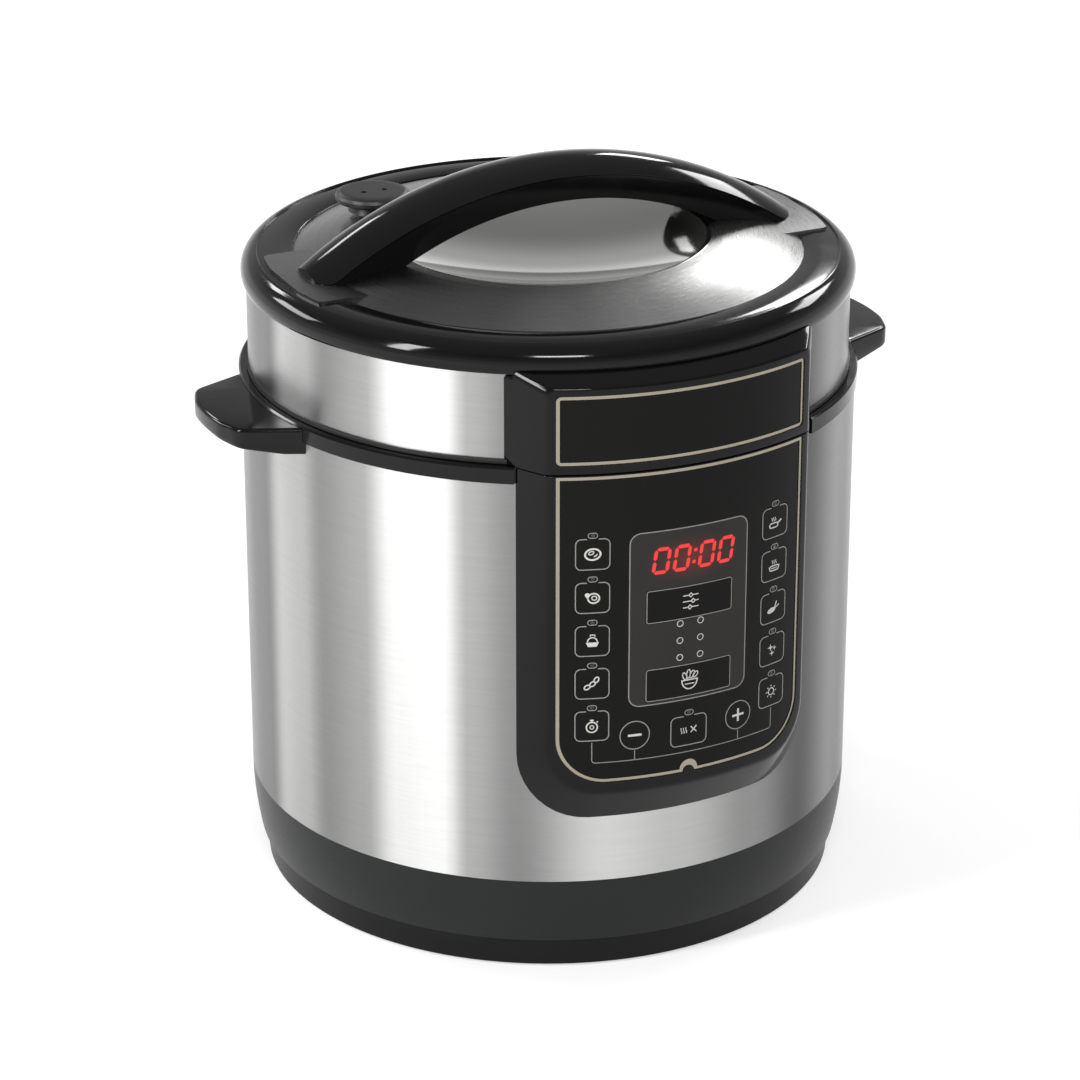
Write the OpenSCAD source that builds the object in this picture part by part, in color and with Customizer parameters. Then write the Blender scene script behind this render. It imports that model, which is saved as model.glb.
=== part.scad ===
// Electric pressure cooker, 6 litre class, with a turn-and-lift lid.
// Frame: origin on the floor under the centre of the pot, +Z up, control panel towards -Y,
// side handles along X. Millimetres.

/* [Casing] */
// Outer radius of the steel skin
body_r = 150; // [147:1:158]
// Thickness of the steel sheet
skin_t = 0.8; // [0.6:0.1:1.2]
// Height of the steel skin
skin_h = 203.9; // [196:1:215]
// Height of the moulded base band
base_band_h = 33.5; // [28:0.5:40]
// How far the base band's lower edge lies inside the skin
band_inset = 3.6; // [2:0.2:6]
// Height of the plinth
plinth_h = 15.8; // [13:0.2:20]
// Step from the base band's lower edge in to the plinth
plinth_step = 3.4; // [2:0.2:6]
// Wall of the mouldings
wall = 2.6; // [2:0.1:3.2]
// Height of the mid ring that closes the skin
ring_h = 7.8; // [6:0.2:10]
// How far the mid ring stands proud of the skin
ring_proud = 1.2; // [0.6:0.2:2]
// Depth that a ring's lip reaches inside the steel
lip_h = 4; // [3:0.5:6]

/* [Feet] */
// Height of the rubber feet below the plinth
foot_drop = 1.2; // [0.8:0.2:2]
// Radius of a rubber foot
foot_r = 9; // [7:0.5:12]
// Distance of the feet's middles from the plinth's edge
foot_inset = 21; // [16:1:30]
// Number of rubber feet
foot_n = 4; // [3:1:6]

/* [Cooking pot] */
// Distance from the steel skin's outside in to the cooking pot
pot_room = 40; // [37:1:46]
// Height of the cooking pot
pot_h = 155; // [145:1:160]
// Wall of the cooking pot
pot_wall = 1.4; // [1:0.1:2]
// Width of the cooking pot's rolled rim
pot_rim_w = 6; // [4.5:0.5:7]
// Radius between the pot's wall and its bottom
pot_corner_r = 18; // [10:1:24]

/* [Outer pot] */
// Gap between the cooking pot and the outer pot
pot_gap = 4; // [3:0.5:5]
// Wall of the outer pot
outer_wall = 1.5; // [1:0.1:2]
// Height of the outer pot's flange above the mid ring
flange_rise = 7; // [6:0.5:9]
// How far the pot's rim stands above the flange
rim_rise = 3; // [2.6:0.2:4]

/* [Lid lock] */
// Number of lock lugs
lug_n = 8; // [6:1:9]
// Share of the pitch that one lug fills
lug_fill = 0.44; // [0.36:0.01:0.46]
// Reach of a lock lug
lug_reach = 8; // [6:0.5:9]
// Thickness of the pressure lid
press_t = 2.2; // [1.8:0.1:3]
// Height between the locked lugs
lug_gap = 0.6; // [0.4:0.1:1]
// Thickness of the pressure lid's lugs
lug_t = 2.8; // [2.2:0.1:3.2]
// Radial clearance of the lock lugs
lug_clear = 1.2; // [0.8:0.1:1.6]

/* [Lid] */
// Gap between the lid and the mid ring
seam_gap = 0.4; // [0.3:0.1:0.8]
// How far the lid's steel band lies inside the skin
lid_inset = 3.5; // [2.5:0.5:5]
// Height of the lip under the steel band
trim_h = 2.2; // [1.6:0.2:3]
// Height of the lid's steel band
lid_band_h = 42.4; // [38:0.5:48]
// How far the top ring overhangs the steel band
ring_over = 2.5; // [1.5:0.5:4]
// Height of the top ring above the steel band
lid_ring_h = 13; // [11:0.5:15]
// Width of the top ring, from the steel band in to the dome plate
top_ring_w = 23; // [20.5:0.5:26.5]
// Height of the dome plate above the top ring's crown, at the dish
dome_rise = 6; // [4:0.5:8]
// Width of the dome plate's slope, round the dish
slope_w = 44.5; // [41.5:0.5:51.5]
// Depth of the dish
dish_depth = 12; // [8:0.5:14]
// Distance of the dome plate's lobes from the top ring's edge
lobe_inset = 11; // [9:1:15]
// Width of the dome plate's lobes
lobe_w = 74; // [60:1:80]

/* [Lid handle] */
// Distance of the lid handle's ends from the top ring's edge
handle_inset = 23; // [18:1:29]
// Width of the lid handle
handle_w = 37; // [32:1:42]
// Height of the handle's side edge above the dome plate, at the middle
handle_rise = 32.4; // [28:0.2:38]
// Radius of the handle's side edge
handle_arc_r = 208; // [200:1:230]
// Height of the handle's rounded top above its side edge
handle_crown = 6.6; // [5:0.2:8]
// Depth of the handle below its side edge, at the middle
handle_depth = 11.4; // [9:0.2:13]
// How far the free span under the handle reaches past the dish
grip_past = 3; // [1:1:7]

/* [Side handles] */
// Reach of the side handles beyond the skin
side_out = 29; // [24:1:36]
// Width of a side handle at its tip
side_tip_w = 64; // [56:1:72]
// Width of a side handle at its root
side_root_w = 88; // [80:1:96]
// Thickness of a side handle at its root
side_root_t = 13; // [11:0.5:15]
// Thickness of a side handle at its tip
side_tip_t = 9.5; // [8:0.5:11]

/* [Control panel] */
// Depth of the panel bezel in front of the skin
bezel_depth = 9.5; // [8:0.5:12]
// Arc length of half the bezel, on the skin
bezel_half_in = 79.3; // [76:0.5:84]
// Arc length of half the bezel, on its face
bezel_half_out = 69; // [67:0.5:71]
// Height of the bezel below the seam, on the skin
bezel_drop_in = 178; // [174:1:184]
// Height of the bezel below the seam, on its face
bezel_drop_out = 161; // [159:1:168]
// Corner radius of the bezel, on the skin
bezel_corner_in = 34; // [28:1:38]
// Corner radius of the bezel, on its face
bezel_corner_out = 25; // [22:1:28]
// Half width of the framed window in the bezel
frame_half = 63; // [61:0.5:64]
// Width of the silver frame line
frame_w = 1.6; // [1.2:0.1:2.2]
// Depth of the framed window below the seam
frame_drop = 155.5; // [153:0.5:157]
// Corner radius of the framed window
frame_corner = 23; // [18:1:26]
// Radius of the notch in the frame's bottom line
notch_r = 3; // [2:0.5:4]
// Thickness of the panel overlay
overlay_t = 0.8; // [0.6:0.1:1.2]
// Height of the badge plate's lower edge above the seam
badge_lift = 4.5; // [3.5:0.5:6]
// Height of the badge plate with its frame
badge_h = 33.5; // [28:0.5:34]

/* [Keys] */
// Width of a programme key
key_w = 16.4; // [14:0.2:17]
// Height of a programme key
key_h = 15.6; // [13:0.2:17]
// Angle of the programme keys from the middle of the panel
key_ang = 17.2; // [16.8:0.1:18]
// Spacing of the programme keys
key_pitch = 21.7; // [20:0.1:22]
// Height of the lowest programme key's middle below the seam
key_low_drop = 126.2; // [124:0.2:128]
// Radius of the round keys
round_key_r = 7.4; // [6:0.1:8]
// Angle of the round keys from the middle of the panel
round_key_ang = 9.8; // [9.6:0.1:10.2]
// Width of the cancel key
cancel_w = 19; // [16:0.2:20]
// Width of the two long keys
long_key_w = 44; // [38:0.5:46]
// Height of the two long keys
long_key_h = 16.4; // [14:0.2:17]
// Gap round each key
key_gap = 0.3; // [0.2:0.05:0.4]
// Travel of a key
key_travel = 0.4; // [0.3:0.05:0.5]
// Width of the display window
window_w = 60; // [56:0.5:61]
// Height of the display window
window_h = 87; // [84:0.5:89]

/* [Valves] */
// Distance of the steam valve's middle from the top ring
valve_inset = 30.845; // [27.845:0.5:34.845]
// Direction of the steam valve, behind the handle
valve_ang = 46.312; // [44.312:0.5:50.312]
// Radius of the steam valve's cap
valve_r = 18.5; // [16:0.5:20]
// Height of the steam valve's cap above the dome plate
valve_h = 10; // [8:0.5:12]
// Outer radius of the vent pipe
vent_r = 4; // [3:0.5:5]
// Running clearance of the valve on the vent pipe
run_fit = 0.06; // [0.03:0.01:0.1]
// Radius of the float valve's pin
float_r = 2.5; // [2:0.1:3]
// Rise of the float valve's pin
float_travel = 4; // [3:0.5:5]

/* [Heater] */
// How far the heating plate's edge lies inside the cooking pot's
heater_inset = 22; // [18:1:30]
// Thickness of the heating plate
heater_t = 15; // [12:0.5:18]
// Radius of the temperature sensor's cap
sensor_r = 14; // [11:0.5:17]
// Clear height under the outer pot's bottom
underpot_h = 12; // [10:0.5:14]

/* [Condensate cup] */
// Width of the condensate cup
cup_w = 46; // [40:1:52]
// Depth of the condensate cup, away from the skin
cup_d = 25; // [22:1:30]
// Height of the condensate cup
cup_h = 46; // [36:1:56]
// Wall of the condensate cup
cup_wall = 1.6; // [1.2:0.1:2.2]

/* [Power inlet] */
// Width of the appliance inlet's face
inlet_w = 31; // [30:0.5:34]
// Height of the appliance inlet's face
inlet_h = 24; // [23.5:0.5:25]
// Width of the inlet's recess
recess_w = 24.5; // [24:0.5:26]
// Height of the inlet's recess
recess_h = 16.5; // [16:0.5:18]
// Depth of the inlet's recess
recess_d = 16; // [14:0.5:18]

/* [Hidden] */
$fn = 120;
eps = 0.01;
fit = 0.05;
seat = 0.3;
BLACK = "#141414";
CHARCOAL = "#2d2f30";
STEEL = "#c2c0bc";
ALLOY = "#9b9d9f";
BOARD = "#1f5a38";

// Heights of the casing, from the floor up.
skin_z = plinth_h + base_band_h;
ring_z = skin_z + skin_h;
seam_z = ring_z + ring_h;
plinth_r = body_r - band_inset - plinth_step;
foot_circle_r = plinth_r - foot_inset;
skin_in_r = body_r - skin_t;
ring_r = body_r + ring_proud;
floor_top_z = foot_drop + wall;

// The lid lock, from the steel band inwards.
lid_r = body_r - lid_inset;
lid_in_r = lid_r - skin_t;
lid_z = seam_z + seam_gap;
band_z = lid_z + trim_h;
band_top_z = band_z + lid_band_h;
trim_t = 1.6;
lock_room = 2.6;
skirt_out_r = lid_in_r - trim_t - lock_room;
skirt_in_r = skirt_out_r - press_t;
lug_r = skirt_in_r - lug_clear;
flange_r = lug_r - lug_reach;
flange_z = seam_z + flange_rise;
lid_lug_in_r = flange_r + lug_clear + 1;
lid_lug_top_z = flange_z - lug_gap;
lid_lug_z = lid_lug_top_z - lug_t;
lug_pitch = 360 / lug_n;
lug_ang = lug_pitch * lug_fill;
lock_turn = lug_pitch / 2;

// The pots and the heater, from the rim down.
pot_r = body_r - pot_room;
heater_r = pot_r - heater_inset;
outer_r = pot_r + pot_gap;
rim_z = flange_z + outer_wall + rim_rise;
pot_z = rim_z - pot_h;
heater_top_z = pot_z - seat;
heater_z = heater_top_z - heater_t;
outer_z = heater_z - underpot_h;

// The pressure lid and what hangs from it.
gasket_h = 10.5;
press_z = rim_z + seat + gasket_h;
press_top_z = press_z + press_t;
gasket_in_r = pot_r - 1.5;
gasket_out_r = pot_r + pot_rim_w + 2;
tray_z = press_z - 4.5;
tray_t = 0.8;
tray_r = gasket_in_r + 2.5;

// The lid's top.
ring_out_r = lid_r + ring_over;
plate_r = lid_r - top_ring_w;
dish_r = plate_r - slope_w;
lobe_reach = ring_out_r - lobe_inset;
valve_x = (plate_r - valve_inset) * cos(valve_ang);
valve_y = (plate_r - valve_inset) * sin(valve_ang);
lid_ring_z = band_top_z - 0.8;
crown_z = band_top_z + lid_ring_h - 0.8;
sheet_t = 1.2;
plate_edge_z = crown_z - 1.4;
dish_rim_z = crown_z + dome_rise;
lobe_top_z = crown_z + sheet_t;

// Height of the dome plate's upper face at a distance from the middle.
dome_arc_r = (pow(plate_r - dish_r, 2) + pow(dish_rim_z - plate_edge_z, 2)) / (2 * (dish_rim_z - plate_edge_z));
function dome_z(r) = dish_rim_z - dome_arc_r + sqrt(pow(dome_arc_r, 2) - pow(max(r - dish_r, 0), 2));

// The handle's arcs: each is centred under the middle of the handle.
handle_l = 2 * (ring_out_r - handle_inset);
grip_half = dish_r + grip_past;
handle_z = dish_rim_z + handle_rise;
handle_under_z = handle_z - handle_depth;
handle_foot_z = dome_z(grip_half);
grip_drop = handle_under_z - handle_foot_z;
grip_arc_r = (pow(grip_half, 2) + pow(grip_drop, 2)) / (2 * grip_drop);
handle_seam = 0.3;

// The side handles, level with the mid ring.
side_reach = body_r + side_out;

// The panel, wrapped round the front of the skin.
face_r = body_r + bezel_depth;
overlay_r = face_r - 0.8;
shelf_r = overlay_r - overlay_t;
bezel_t = 3;
bezel_half = [bezel_half_in, bezel_half_out];
bezel_low = [seam_z - bezel_drop_in, seam_z - bezel_drop_out];
bezel_corner = [bezel_corner_in, bezel_corner_out];
bezel_top = [band_top_z + 0.9, band_top_z - 3.3];
hairline = 0.2;
arc_n = 10;
edge_n = 10;
frame_top_z = seam_z - 1;
frame_low_z = seam_z - frame_drop;
badge_z = seam_z + badge_lift;
badge_mid_z = badge_z + badge_h / 2;
key_low_z = seam_z - key_low_drop;
row_z = [for (i = [0 : 4]) key_low_z + (4 - i) * key_pitch];
round_key_z = key_low_z - 6.5;
cancel_z = key_low_z - 8.2;
window_z = seam_z - 118;
window_mid_z = window_z + window_h / 2;
menu_mid_z = window_z + 1.5 + long_key_h / 2;
adjust_mid_z = window_z + 49.5;
digits_z = window_z + 70.5;
corner_r = 2.4;
board_y = body_r - 10;
board_t = 1.6;
key_shelf_r = shelf_r - key_travel - 0.2;

// Outlines, drawn as x and height, and swept back from the front.
module rounded(w, h, r) {
    square([w - 2 * r, h], center = true);
    square([w, h - 2 * r], center = true);
    for (x = [-1, 1], y = [-1, 1]) translate([x * (w / 2 - r), y * (h / 2 - r)]) circle(r = r);
}
module tube(r_in, r_out, z_lo, z_hi) {
    rotate_extrude() translate([r_in, z_lo]) square([r_out - r_in, z_hi - z_lo]);
}
module sector(r_in, r_out, z_lo, z_hi, from, turn) {
    rotate([0, 0, from]) rotate_extrude(angle = turn)
        translate([r_in, z_lo]) square([r_out - r_in, z_hi - z_lo]);
}
module front(depth) {
    rotate([90, 0, 0]) linear_extrude(depth) children();
}
// The part of a swept outline between two radii: a plate that follows the casing.
module wrapped(r_in, r_out) {
    intersection() {
        tube(r_in, r_out, 0, dish_rim_z);
        front(face_r + 10) children();
    }
}
module at_front(ang) {
    rotate([0, 0, ang]) children();
}

// A block wrapped round the casing, whose sides slope from its base to its face.
function lean(v, r) = v[0] + (v[1] - v[0]) * (r - body_r) / bezel_depth;
function round_corner(u, z, r, from) =
    [for (i = [0 : arc_n]) [u + r * cos(from + 90 * i / arc_n), z + r * sin(from + 90 * i / arc_n)]];
function level_edge(u, z) = [for (i = [1 : edge_n - 1]) [u - 2 * u * i / edge_n, z]];
function block_outline(half, low, high, r_low, r_high) = concat(
    round_corner(half - r_low, low + r_low, r_low, -90),
    round_corner(half - r_high, high - r_high, r_high, 0),
    level_edge(half - r_high, high),
    round_corner(r_high - half, high - r_high, r_high, 90),
    round_corner(r_low - half, low + r_low, r_low, 180),
    level_edge(r_low - half, low));
function wrap_point(p, r) = [r * sin(p[0] / r * 180 / PI), -r * cos(p[0] / r * 180 / PI), p[1]];
module sloped_block(half, low, high, r_low, r_high) {
    r0 = lid_r - 6;
    r1 = face_r + 6;
    rings = [for (r = [r0, r1]) [for (p = block_outline(lean(half, r), lean(low, r), lean(high, r),
        lean(r_low, r), lean(r_high, r))) wrap_point(p, r)]];
    n = len(rings[0]);
    mid_z = (lean(low, body_r) + lean(high, body_r)) / 2;
    faces = [for (i = [0 : n - 1]) let (j = (i + 1) % n) each [
        [i, n + j, j], [i, n + i, n + j],
        [2 * n, i, j], [2 * n + 1, n + j, n + i]]];
    polyhedron(points = concat(rings[0], rings[1], [[0, -r0, mid_z], [0, -r1, mid_z]]), faces = faces);
}

// Framed window outlines of the lower panel, grown by a distance.
module window_outline(grow) {
    top = frame_top_z + grow;
    low = frame_low_z - grow;
    half = frame_half + grow;
    r = frame_corner + grow;
    difference() {
        union() {
            translate([-half, low + r]) square([2 * half, top - low - r]);
            translate([-half + r, low]) square([2 * (half - r), r + eps]);
            for (x = [-1, 1]) translate([x * (half - r), low + r]) circle(r = r);
        }
        translate([0, low]) circle(r = notch_r - grow);
    }
}
badge_corner = 2.4;
module badge_outline(grow) {
    translate([0, badge_mid_z]) rounded(2 * (frame_half + grow), badge_h + 2 * grow, badge_corner + grow);
}

// Places round the casing that several pieces share.
foot_start = 45;
foot_depth = 3;
vent_n = 24;
vent_rows = [48, 68];
vent_l = 16;
vent_w = 3.6;
post_r = 5;
post_circle_r = outer_r - 15.92;
post_ang = 50.8;
post_x = post_circle_r * cos(post_ang);
post_y = post_circle_r * sin(post_ang);
screw_r = 2;
screw_head_r = 3.6;
screw_head_h = 2.2;
screw_head_z = 6;
post_top_z = outer_z - seat;
inlet_set_in = 0.5;
inlet_mid_z = plinth_h + base_band_h / 2 - 1.5;
skin_window_half = 56;
skin_window_rim = 8;
side_screw_y = 24;
side_screw_z = ring_z - 3;
side_screw_l = 6;
module at_feet() {
    for (i = [0 : foot_n - 1]) rotate([0, 0, foot_start + i * 360 / foot_n])
        translate([foot_circle_r, 0, 0]) children();
}
module at_posts() {
    for (x = [-1, 1], y = [-1, 1]) translate([x * post_x, y * post_y, 0]) children();
}
module inlet_at() {
    translate([0, body_r - inlet_set_in, inlet_mid_z]) children();
}

// The base: plinth, curved band and floor in one moulding.
band_steps = 8;
band_arc_r = (pow(base_band_h, 2) + pow(band_inset, 2)) / (2 * band_inset);
module base_shell() {
    outer = [for (i = [0 : band_steps]) let (z = plinth_h + base_band_h * i / band_steps)
        [body_r - band_arc_r + sqrt(pow(band_arc_r, 2) - pow(skin_z - z, 2)), z]];
    inner = [for (i = [band_steps : -1 : 0]) [outer[i][0] - wall, max(outer[i][1], plinth_h + wall)]];
    lip = [[skin_in_r - fit, skin_z], [skin_in_r - fit, skin_z + lip_h], [skin_in_r - wall, skin_z + lip_h]];
    floor_edge = [[plinth_r - wall, plinth_h + wall], [plinth_r - wall, floor_top_z], [0, floor_top_z]];
    rotate_extrude() polygon(concat([[0, foot_drop], [plinth_r, foot_drop], [plinth_r, plinth_h]],
        outer, lip, inner, floor_edge));
}
module base_moulding() {
    color(CHARCOAL) difference() {
        union() {
            base_shell();
            base_lip();
            at_feet() translate([0, 0, foot_drop]) cylinder(r = foot_r + wall, h = foot_depth + wall);
            at_posts() translate([0, 0, foot_drop]) cylinder(r = post_r, h = post_top_z - foot_drop);
            inlet_at() translate([-inlet_w / 2 - wall, -recess_d - 2 * wall, -inlet_h / 2 - wall])
                cube([inlet_w + 2 * wall, recess_d + wall, inlet_h + 2 * wall]);
        }
        at_feet() translate([0, 0, -eps]) cylinder(r = foot_r + fit, h = foot_depth + foot_drop);
        for (i = [0 : vent_n - 1], r = vent_rows) rotate([0, 0, i * 360 / vent_n])
            translate([r - vent_l / 2, -vent_w / 2, 0]) cube([vent_l, vent_w, floor_top_z + 1]);
        at_posts() translate([0, 0, -eps]) {
            cylinder(r = screw_r + fit, h = post_top_z + eps * 2);
            cylinder(r = screw_head_r + fit, h = screw_head_z + eps);
        }
        inlet_at() translate([-inlet_w / 2 - fit, -recess_d - wall, -inlet_h / 2 - fit])
            cube([inlet_w + 2 * fit, recess_d + 3 * wall, inlet_h + 2 * fit]);
    }
}
// A lip under the band's front left edge, deepening towards its slanted end.
base_lip_from = 188;
base_lip_turn = 44;
base_lip_depth = 6;
base_lip_slope = 3.2;
base_lip_slant = 35;
base_lip_set_in = 0.3;
module base_lip() {
    intersection() {
        sector(plinth_r - 1, body_r - band_inset - base_lip_set_in, plinth_h - base_lip_depth, plinth_h + 1,
            base_lip_from, base_lip_turn + 4);
        rotate([0, 0, base_lip_from]) rotate([-base_lip_slope, 0, 0])
            translate([-2 * body_r, -2 * body_r, plinth_h]) cube([4 * body_r, 4 * body_r, body_r]);
        rotate([0, 0, base_lip_from + base_lip_turn]) translate([0, 0, plinth_h - base_lip_depth])
            rotate([90 - base_lip_slant, 0, 0])
            translate([-body_r, -2 * body_r, 0]) cube([3 * body_r, 3 * body_r, 2 * body_r]);
    }
}

module rubber_feet() {
    color("#101010") at_feet() cylinder(r = foot_r, h = foot_drop + foot_depth - eps * 2);
}

// The steel skin, with a window behind the control panel.
module lower_skin() {
    window_low_z = frame_low_z + skin_window_rim;
    window_top_z = ring_z - skin_window_rim;
    color(STEEL) difference() {
        tube(skin_in_r, body_r, skin_z, ring_z);
        front(2 * body_r) translate([0, (window_low_z + window_top_z) / 2])
            rounded(2 * skin_window_half, window_top_z - window_low_z, skin_window_rim);
        side_screw_holes();
    }
}
module side_screw_holes() {
    in_r = skin_in_r - 4 * deck_t;
    for (s = [0, 180], y = [-1, 1]) rotate([0, 0, s]) translate([in_r, y * side_screw_y, side_screw_z])
        rotate([0, 90, 0]) cylinder(r = screw_r + fit, h = body_r + side_screw_l - in_r);
}

// The mid ring: closes the skin, seats the outer pot and drains the lid's condensate.
groove_r = flange_r + 5.9;
groove_w = 5;
groove_depth = 1.4;
ring_edge = 0.8;
deck_t = 2.5;
seat_in_r = outer_r + outer_wall + 2;
shuttle_in_r = skirt_out_r + 0.5;
shuttle_t = lock_room - 1;
shuttle_ang = 6;
shuttle_at = 60;
slot_side = 0.3;
slot_end = 0.6;
spout_w = 14;
spout_reach = 10;
spout_y = ring_r + spout_reach / 2;
spout_r = 4.5;
spout_bore_r = 2.6;
drain_r = 1.8;
drain_z = ring_z + 2.6;
drain_y = body_r - 8;
module mid_ring() {
    color(BLACK) difference() {
        union() {
            mid_ring_shell();
            spout();
        }
        tube(groove_r - groove_w / 2, groove_r + groove_w / 2, seam_z - groove_depth, seam_z + 1);
        translate([-drain_r - 1, groove_r, seam_z - groove_depth])
            cube([2 * drain_r + 2, drain_y + 4 - groove_r, 3]);
        translate([0, drain_y, drain_z]) rotate([-90, 0, 0]) cylinder(r = drain_r, h = spout_y - drain_y);
        translate([0, drain_y, drain_z]) cylinder(r = drain_r, h = ring_h);
        translate([0, spout_y, ring_z - ring_h]) cylinder(r = spout_bore_r, h = ring_h + 3);
        sector(shuttle_in_r - slot_side, shuttle_in_r + shuttle_t + slot_side, seam_z - 2 * deck_t, seam_z + 1,
            shuttle_at - slot_end, shuttle_ang + lock_turn + 2 * slot_end);
        side_screw_holes();
        front_gap();
    }
}
module mid_ring_shell() {
    rim = [[ring_r, ring_z], [ring_r, seam_z - ring_edge], [ring_r - ring_edge, seam_z]];
    step = [[flange_r, seam_z], [flange_r, flange_z], [seat_in_r, flange_z], [seat_in_r, flange_z - deck_t]];
    under = [[flange_r - deck_t, flange_z - deck_t], [flange_r - deck_t, seam_z - deck_t],
        [skin_in_r - deck_t, seam_z - deck_t], [skin_in_r - deck_t, ring_z - lip_h]];
    lip = [[skin_in_r - fit, ring_z - lip_h], [skin_in_r - fit, ring_z]];
    rotate_extrude() polygon(concat(rim, step, under, lip));
}
module spout() {
    intersection() {
        translate([-spout_w / 2, drain_y + 2, ring_z]) cube([spout_w, spout_y + spout_r - drain_y, ring_h - 1]);
        cylinder(r = ring_r + spout_reach, h = seam_z);
    }
    translate([0, spout_y, ring_z - spout_r]) cylinder(r = spout_r, h = spout_r + 1);
}
// Room in front for the panel bezel.
front_gap_ang = bezel_half_in / body_r * 180 / PI + 0.2;
module front_gap() {
    sector(body_r, ring_r + 10, ring_z - 2, seam_z + 2, -90 - front_gap_ang, 2 * front_gap_ang);
}

// A side handle: a hollow wing screwed to the ring and the skin.
side_top_z = seam_z - 1;
side_tip_r = 8;
side_bow = 4.5;
side_bow_r = 105;
side_wall = 3;
side_edge_rise = 2.5;
side_root_in = 10;
side_hollow_from = body_r + 8;
module side_plan(grow) {
    hull() {
        for (y = [-1, 1]) translate([side_reach - side_bow - side_tip_r, y * (side_tip_w / 2 - side_tip_r)])
            circle(r = side_tip_r + grow, $fn = 32);
        translate([side_reach - side_bow_r, 0]) intersection() {
            circle(r = side_bow_r + grow, $fn = 360);
            translate([0, -side_tip_w / 4]) square([side_bow_r + side_tip_r, side_tip_w / 2]);
        }
        translate([body_r - side_root_in - side_tip_r, -side_root_w / 2 - grow])
            square([side_tip_r, side_root_w + 2 * grow]);
    }
}
// What a side handle is cut from: its underside rises towards the tip.
module side_profile() {
    root_z = side_top_z - side_root_t;
    tip_z = side_top_z - side_tip_t;
    over_r = side_reach + 5;
    rotate([90, 0, 0]) linear_extrude(2 * side_root_w, center = true)
        polygon([[0, root_z], [body_r + 3, root_z], [side_reach - 3, tip_z], [over_r, tip_z + side_edge_rise],
        [over_r, side_top_z], [0, side_top_z]]);
}
module side_handle() {
    color(BLACK) difference() {
        intersection() {
            translate([0, 0, side_top_z - 2 * side_root_t]) linear_extrude(3 * side_root_t) side_plan(0);
            side_profile();
        }
        intersection() {
            linear_extrude(side_top_z - side_wall) side_plan(-side_wall);
            translate([side_hollow_from, -side_root_w, 0]) cube([side_reach, 2 * side_root_w, seam_z]);
        }
        cylinder(r = body_r + fit, h = ring_z);
        translate([0, 0, ring_z - eps]) cylinder(r = ring_r + fit, h = 2 * ring_h);
        side_screw_holes();
    }
}
module side_handle_right() {
    side_handle();
}
module side_handle_left() {
    rotate([0, 0, 180]) side_handle();
}

// The outer pot: a drawn shell whose flange carries the lock lugs.
outer_corner_r = 14;
heater_hole_r = 30;
module outer_pot() {
    color(STEEL) difference() {
        outer_pot_shell();
        at_posts() translate([0, 0, outer_z - 1]) cylinder(r = screw_r + fit, h = outer_wall + 2);
    }
}
module outer_pot_shell() {
    corner_z = outer_z + outer_corner_r;
    floor_r = outer_r + outer_wall - outer_corner_r;
    rotate_extrude() {
        translate([outer_r, corner_z]) square([outer_wall, flange_z + outer_wall - corner_z]);
        translate([heater_hole_r, outer_z]) square([floor_r - heater_hole_r, outer_wall]);
        translate([floor_r, corner_z]) quarter(outer_corner_r, outer_wall);
        translate([outer_r, flange_z]) square([flange_r - outer_r, outer_wall]);
    }
    for (i = [0 : lug_n - 1])
        sector(flange_r - 1, lug_r, flange_z, flange_z + outer_wall, i * lug_pitch - lug_ang / 2, lug_ang);
}
// A quarter of a ring below and outside its centre: the corner of a drawn pot.
module quarter(r, t) {
    intersection() {
        difference() {
            circle(r = r);
            circle(r = r - t);
        }
        translate([0, -r]) square([r, r]);
    }
}

// The heater: a cast plate with a ring for its element, and the sensor in the middle.
sensor_bore_r = sensor_r + 2;
heater_leg_at = heater_r - 24;
heater_leg_r = 4.5;
heater_leg_from = 30;
heater_pin_r = 3;
heater_pin_l = 8;
heater_pin_ang = 25;
element_in_r = heater_r - 34.5;
element_w = 20;
element_edge = 1.5;
heater_web = 9;
heater_lip = 6;
module heating_plate() {
    web_z = heater_top_z - heater_web;
    hub = [[sensor_bore_r, heater_z + 3], [sensor_bore_r + 4, heater_z + 3], [sensor_bore_r + 7, web_z]];
    out_r = element_in_r + element_w;
    element = [[element_in_r - element_edge, web_z], [element_in_r + element_edge, heater_z],
        [out_r - element_edge, heater_z], [out_r + element_edge, heater_z + 7]];
    edge = [[heater_r, heater_top_z - heater_lip], [heater_r, heater_top_z - 3], [heater_r - 3, heater_top_z]];
    color(ALLOY) union() {
        rotate_extrude() polygon(concat(hub, element, edge, [[sensor_bore_r, heater_top_z]]));
        for (i = [0 : 2]) rotate([0, 0, heater_leg_from + i * 120])
            translate([heater_leg_at, 0, outer_z + outer_wall])
            cylinder(r = heater_leg_r, h = heater_z - outer_z);
        for (s = [-1, 1]) rotate([0, 0, s * heater_pin_ang - 90])
            translate([heater_leg_at, 0, heater_z + 2 - heater_pin_l])
            cylinder(r = heater_pin_r, h = heater_pin_l);
    }
}
bracket_drop = 6;
bracket_t = 1.5;
bracket_w = 12;
bracket_l = 46;
bracket_hub_r = 22;
bracket_bore_r = 6;
bracket_z = outer_z - bracket_drop;
module heater_bracket() {
    color(STEEL) difference() {
        union() {
            translate([0, 0, bracket_z]) cylinder(r = bracket_hub_r, h = bracket_t);
            for (a = [0, 120, 240]) rotate([0, 0, a + heater_leg_from]) {
                translate([0, -bracket_w / 2, bracket_z]) cube([bracket_l, bracket_w, bracket_t]);
                translate([bracket_l - bracket_t, -bracket_w / 2, bracket_z])
                    cube([bracket_t, bracket_w, bracket_drop - eps]);
            }
        }
        translate([0, 0, bracket_z - 1]) cylinder(r = bracket_bore_r, h = bracket_t + 2);
    }
}
sensor_top_z = heater_top_z - eps;
sensor_cap_h = 9;
sensor_cap_t = 1.5;
sensor_wall = 1.2;
sensor_stem_r = 4;
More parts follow.
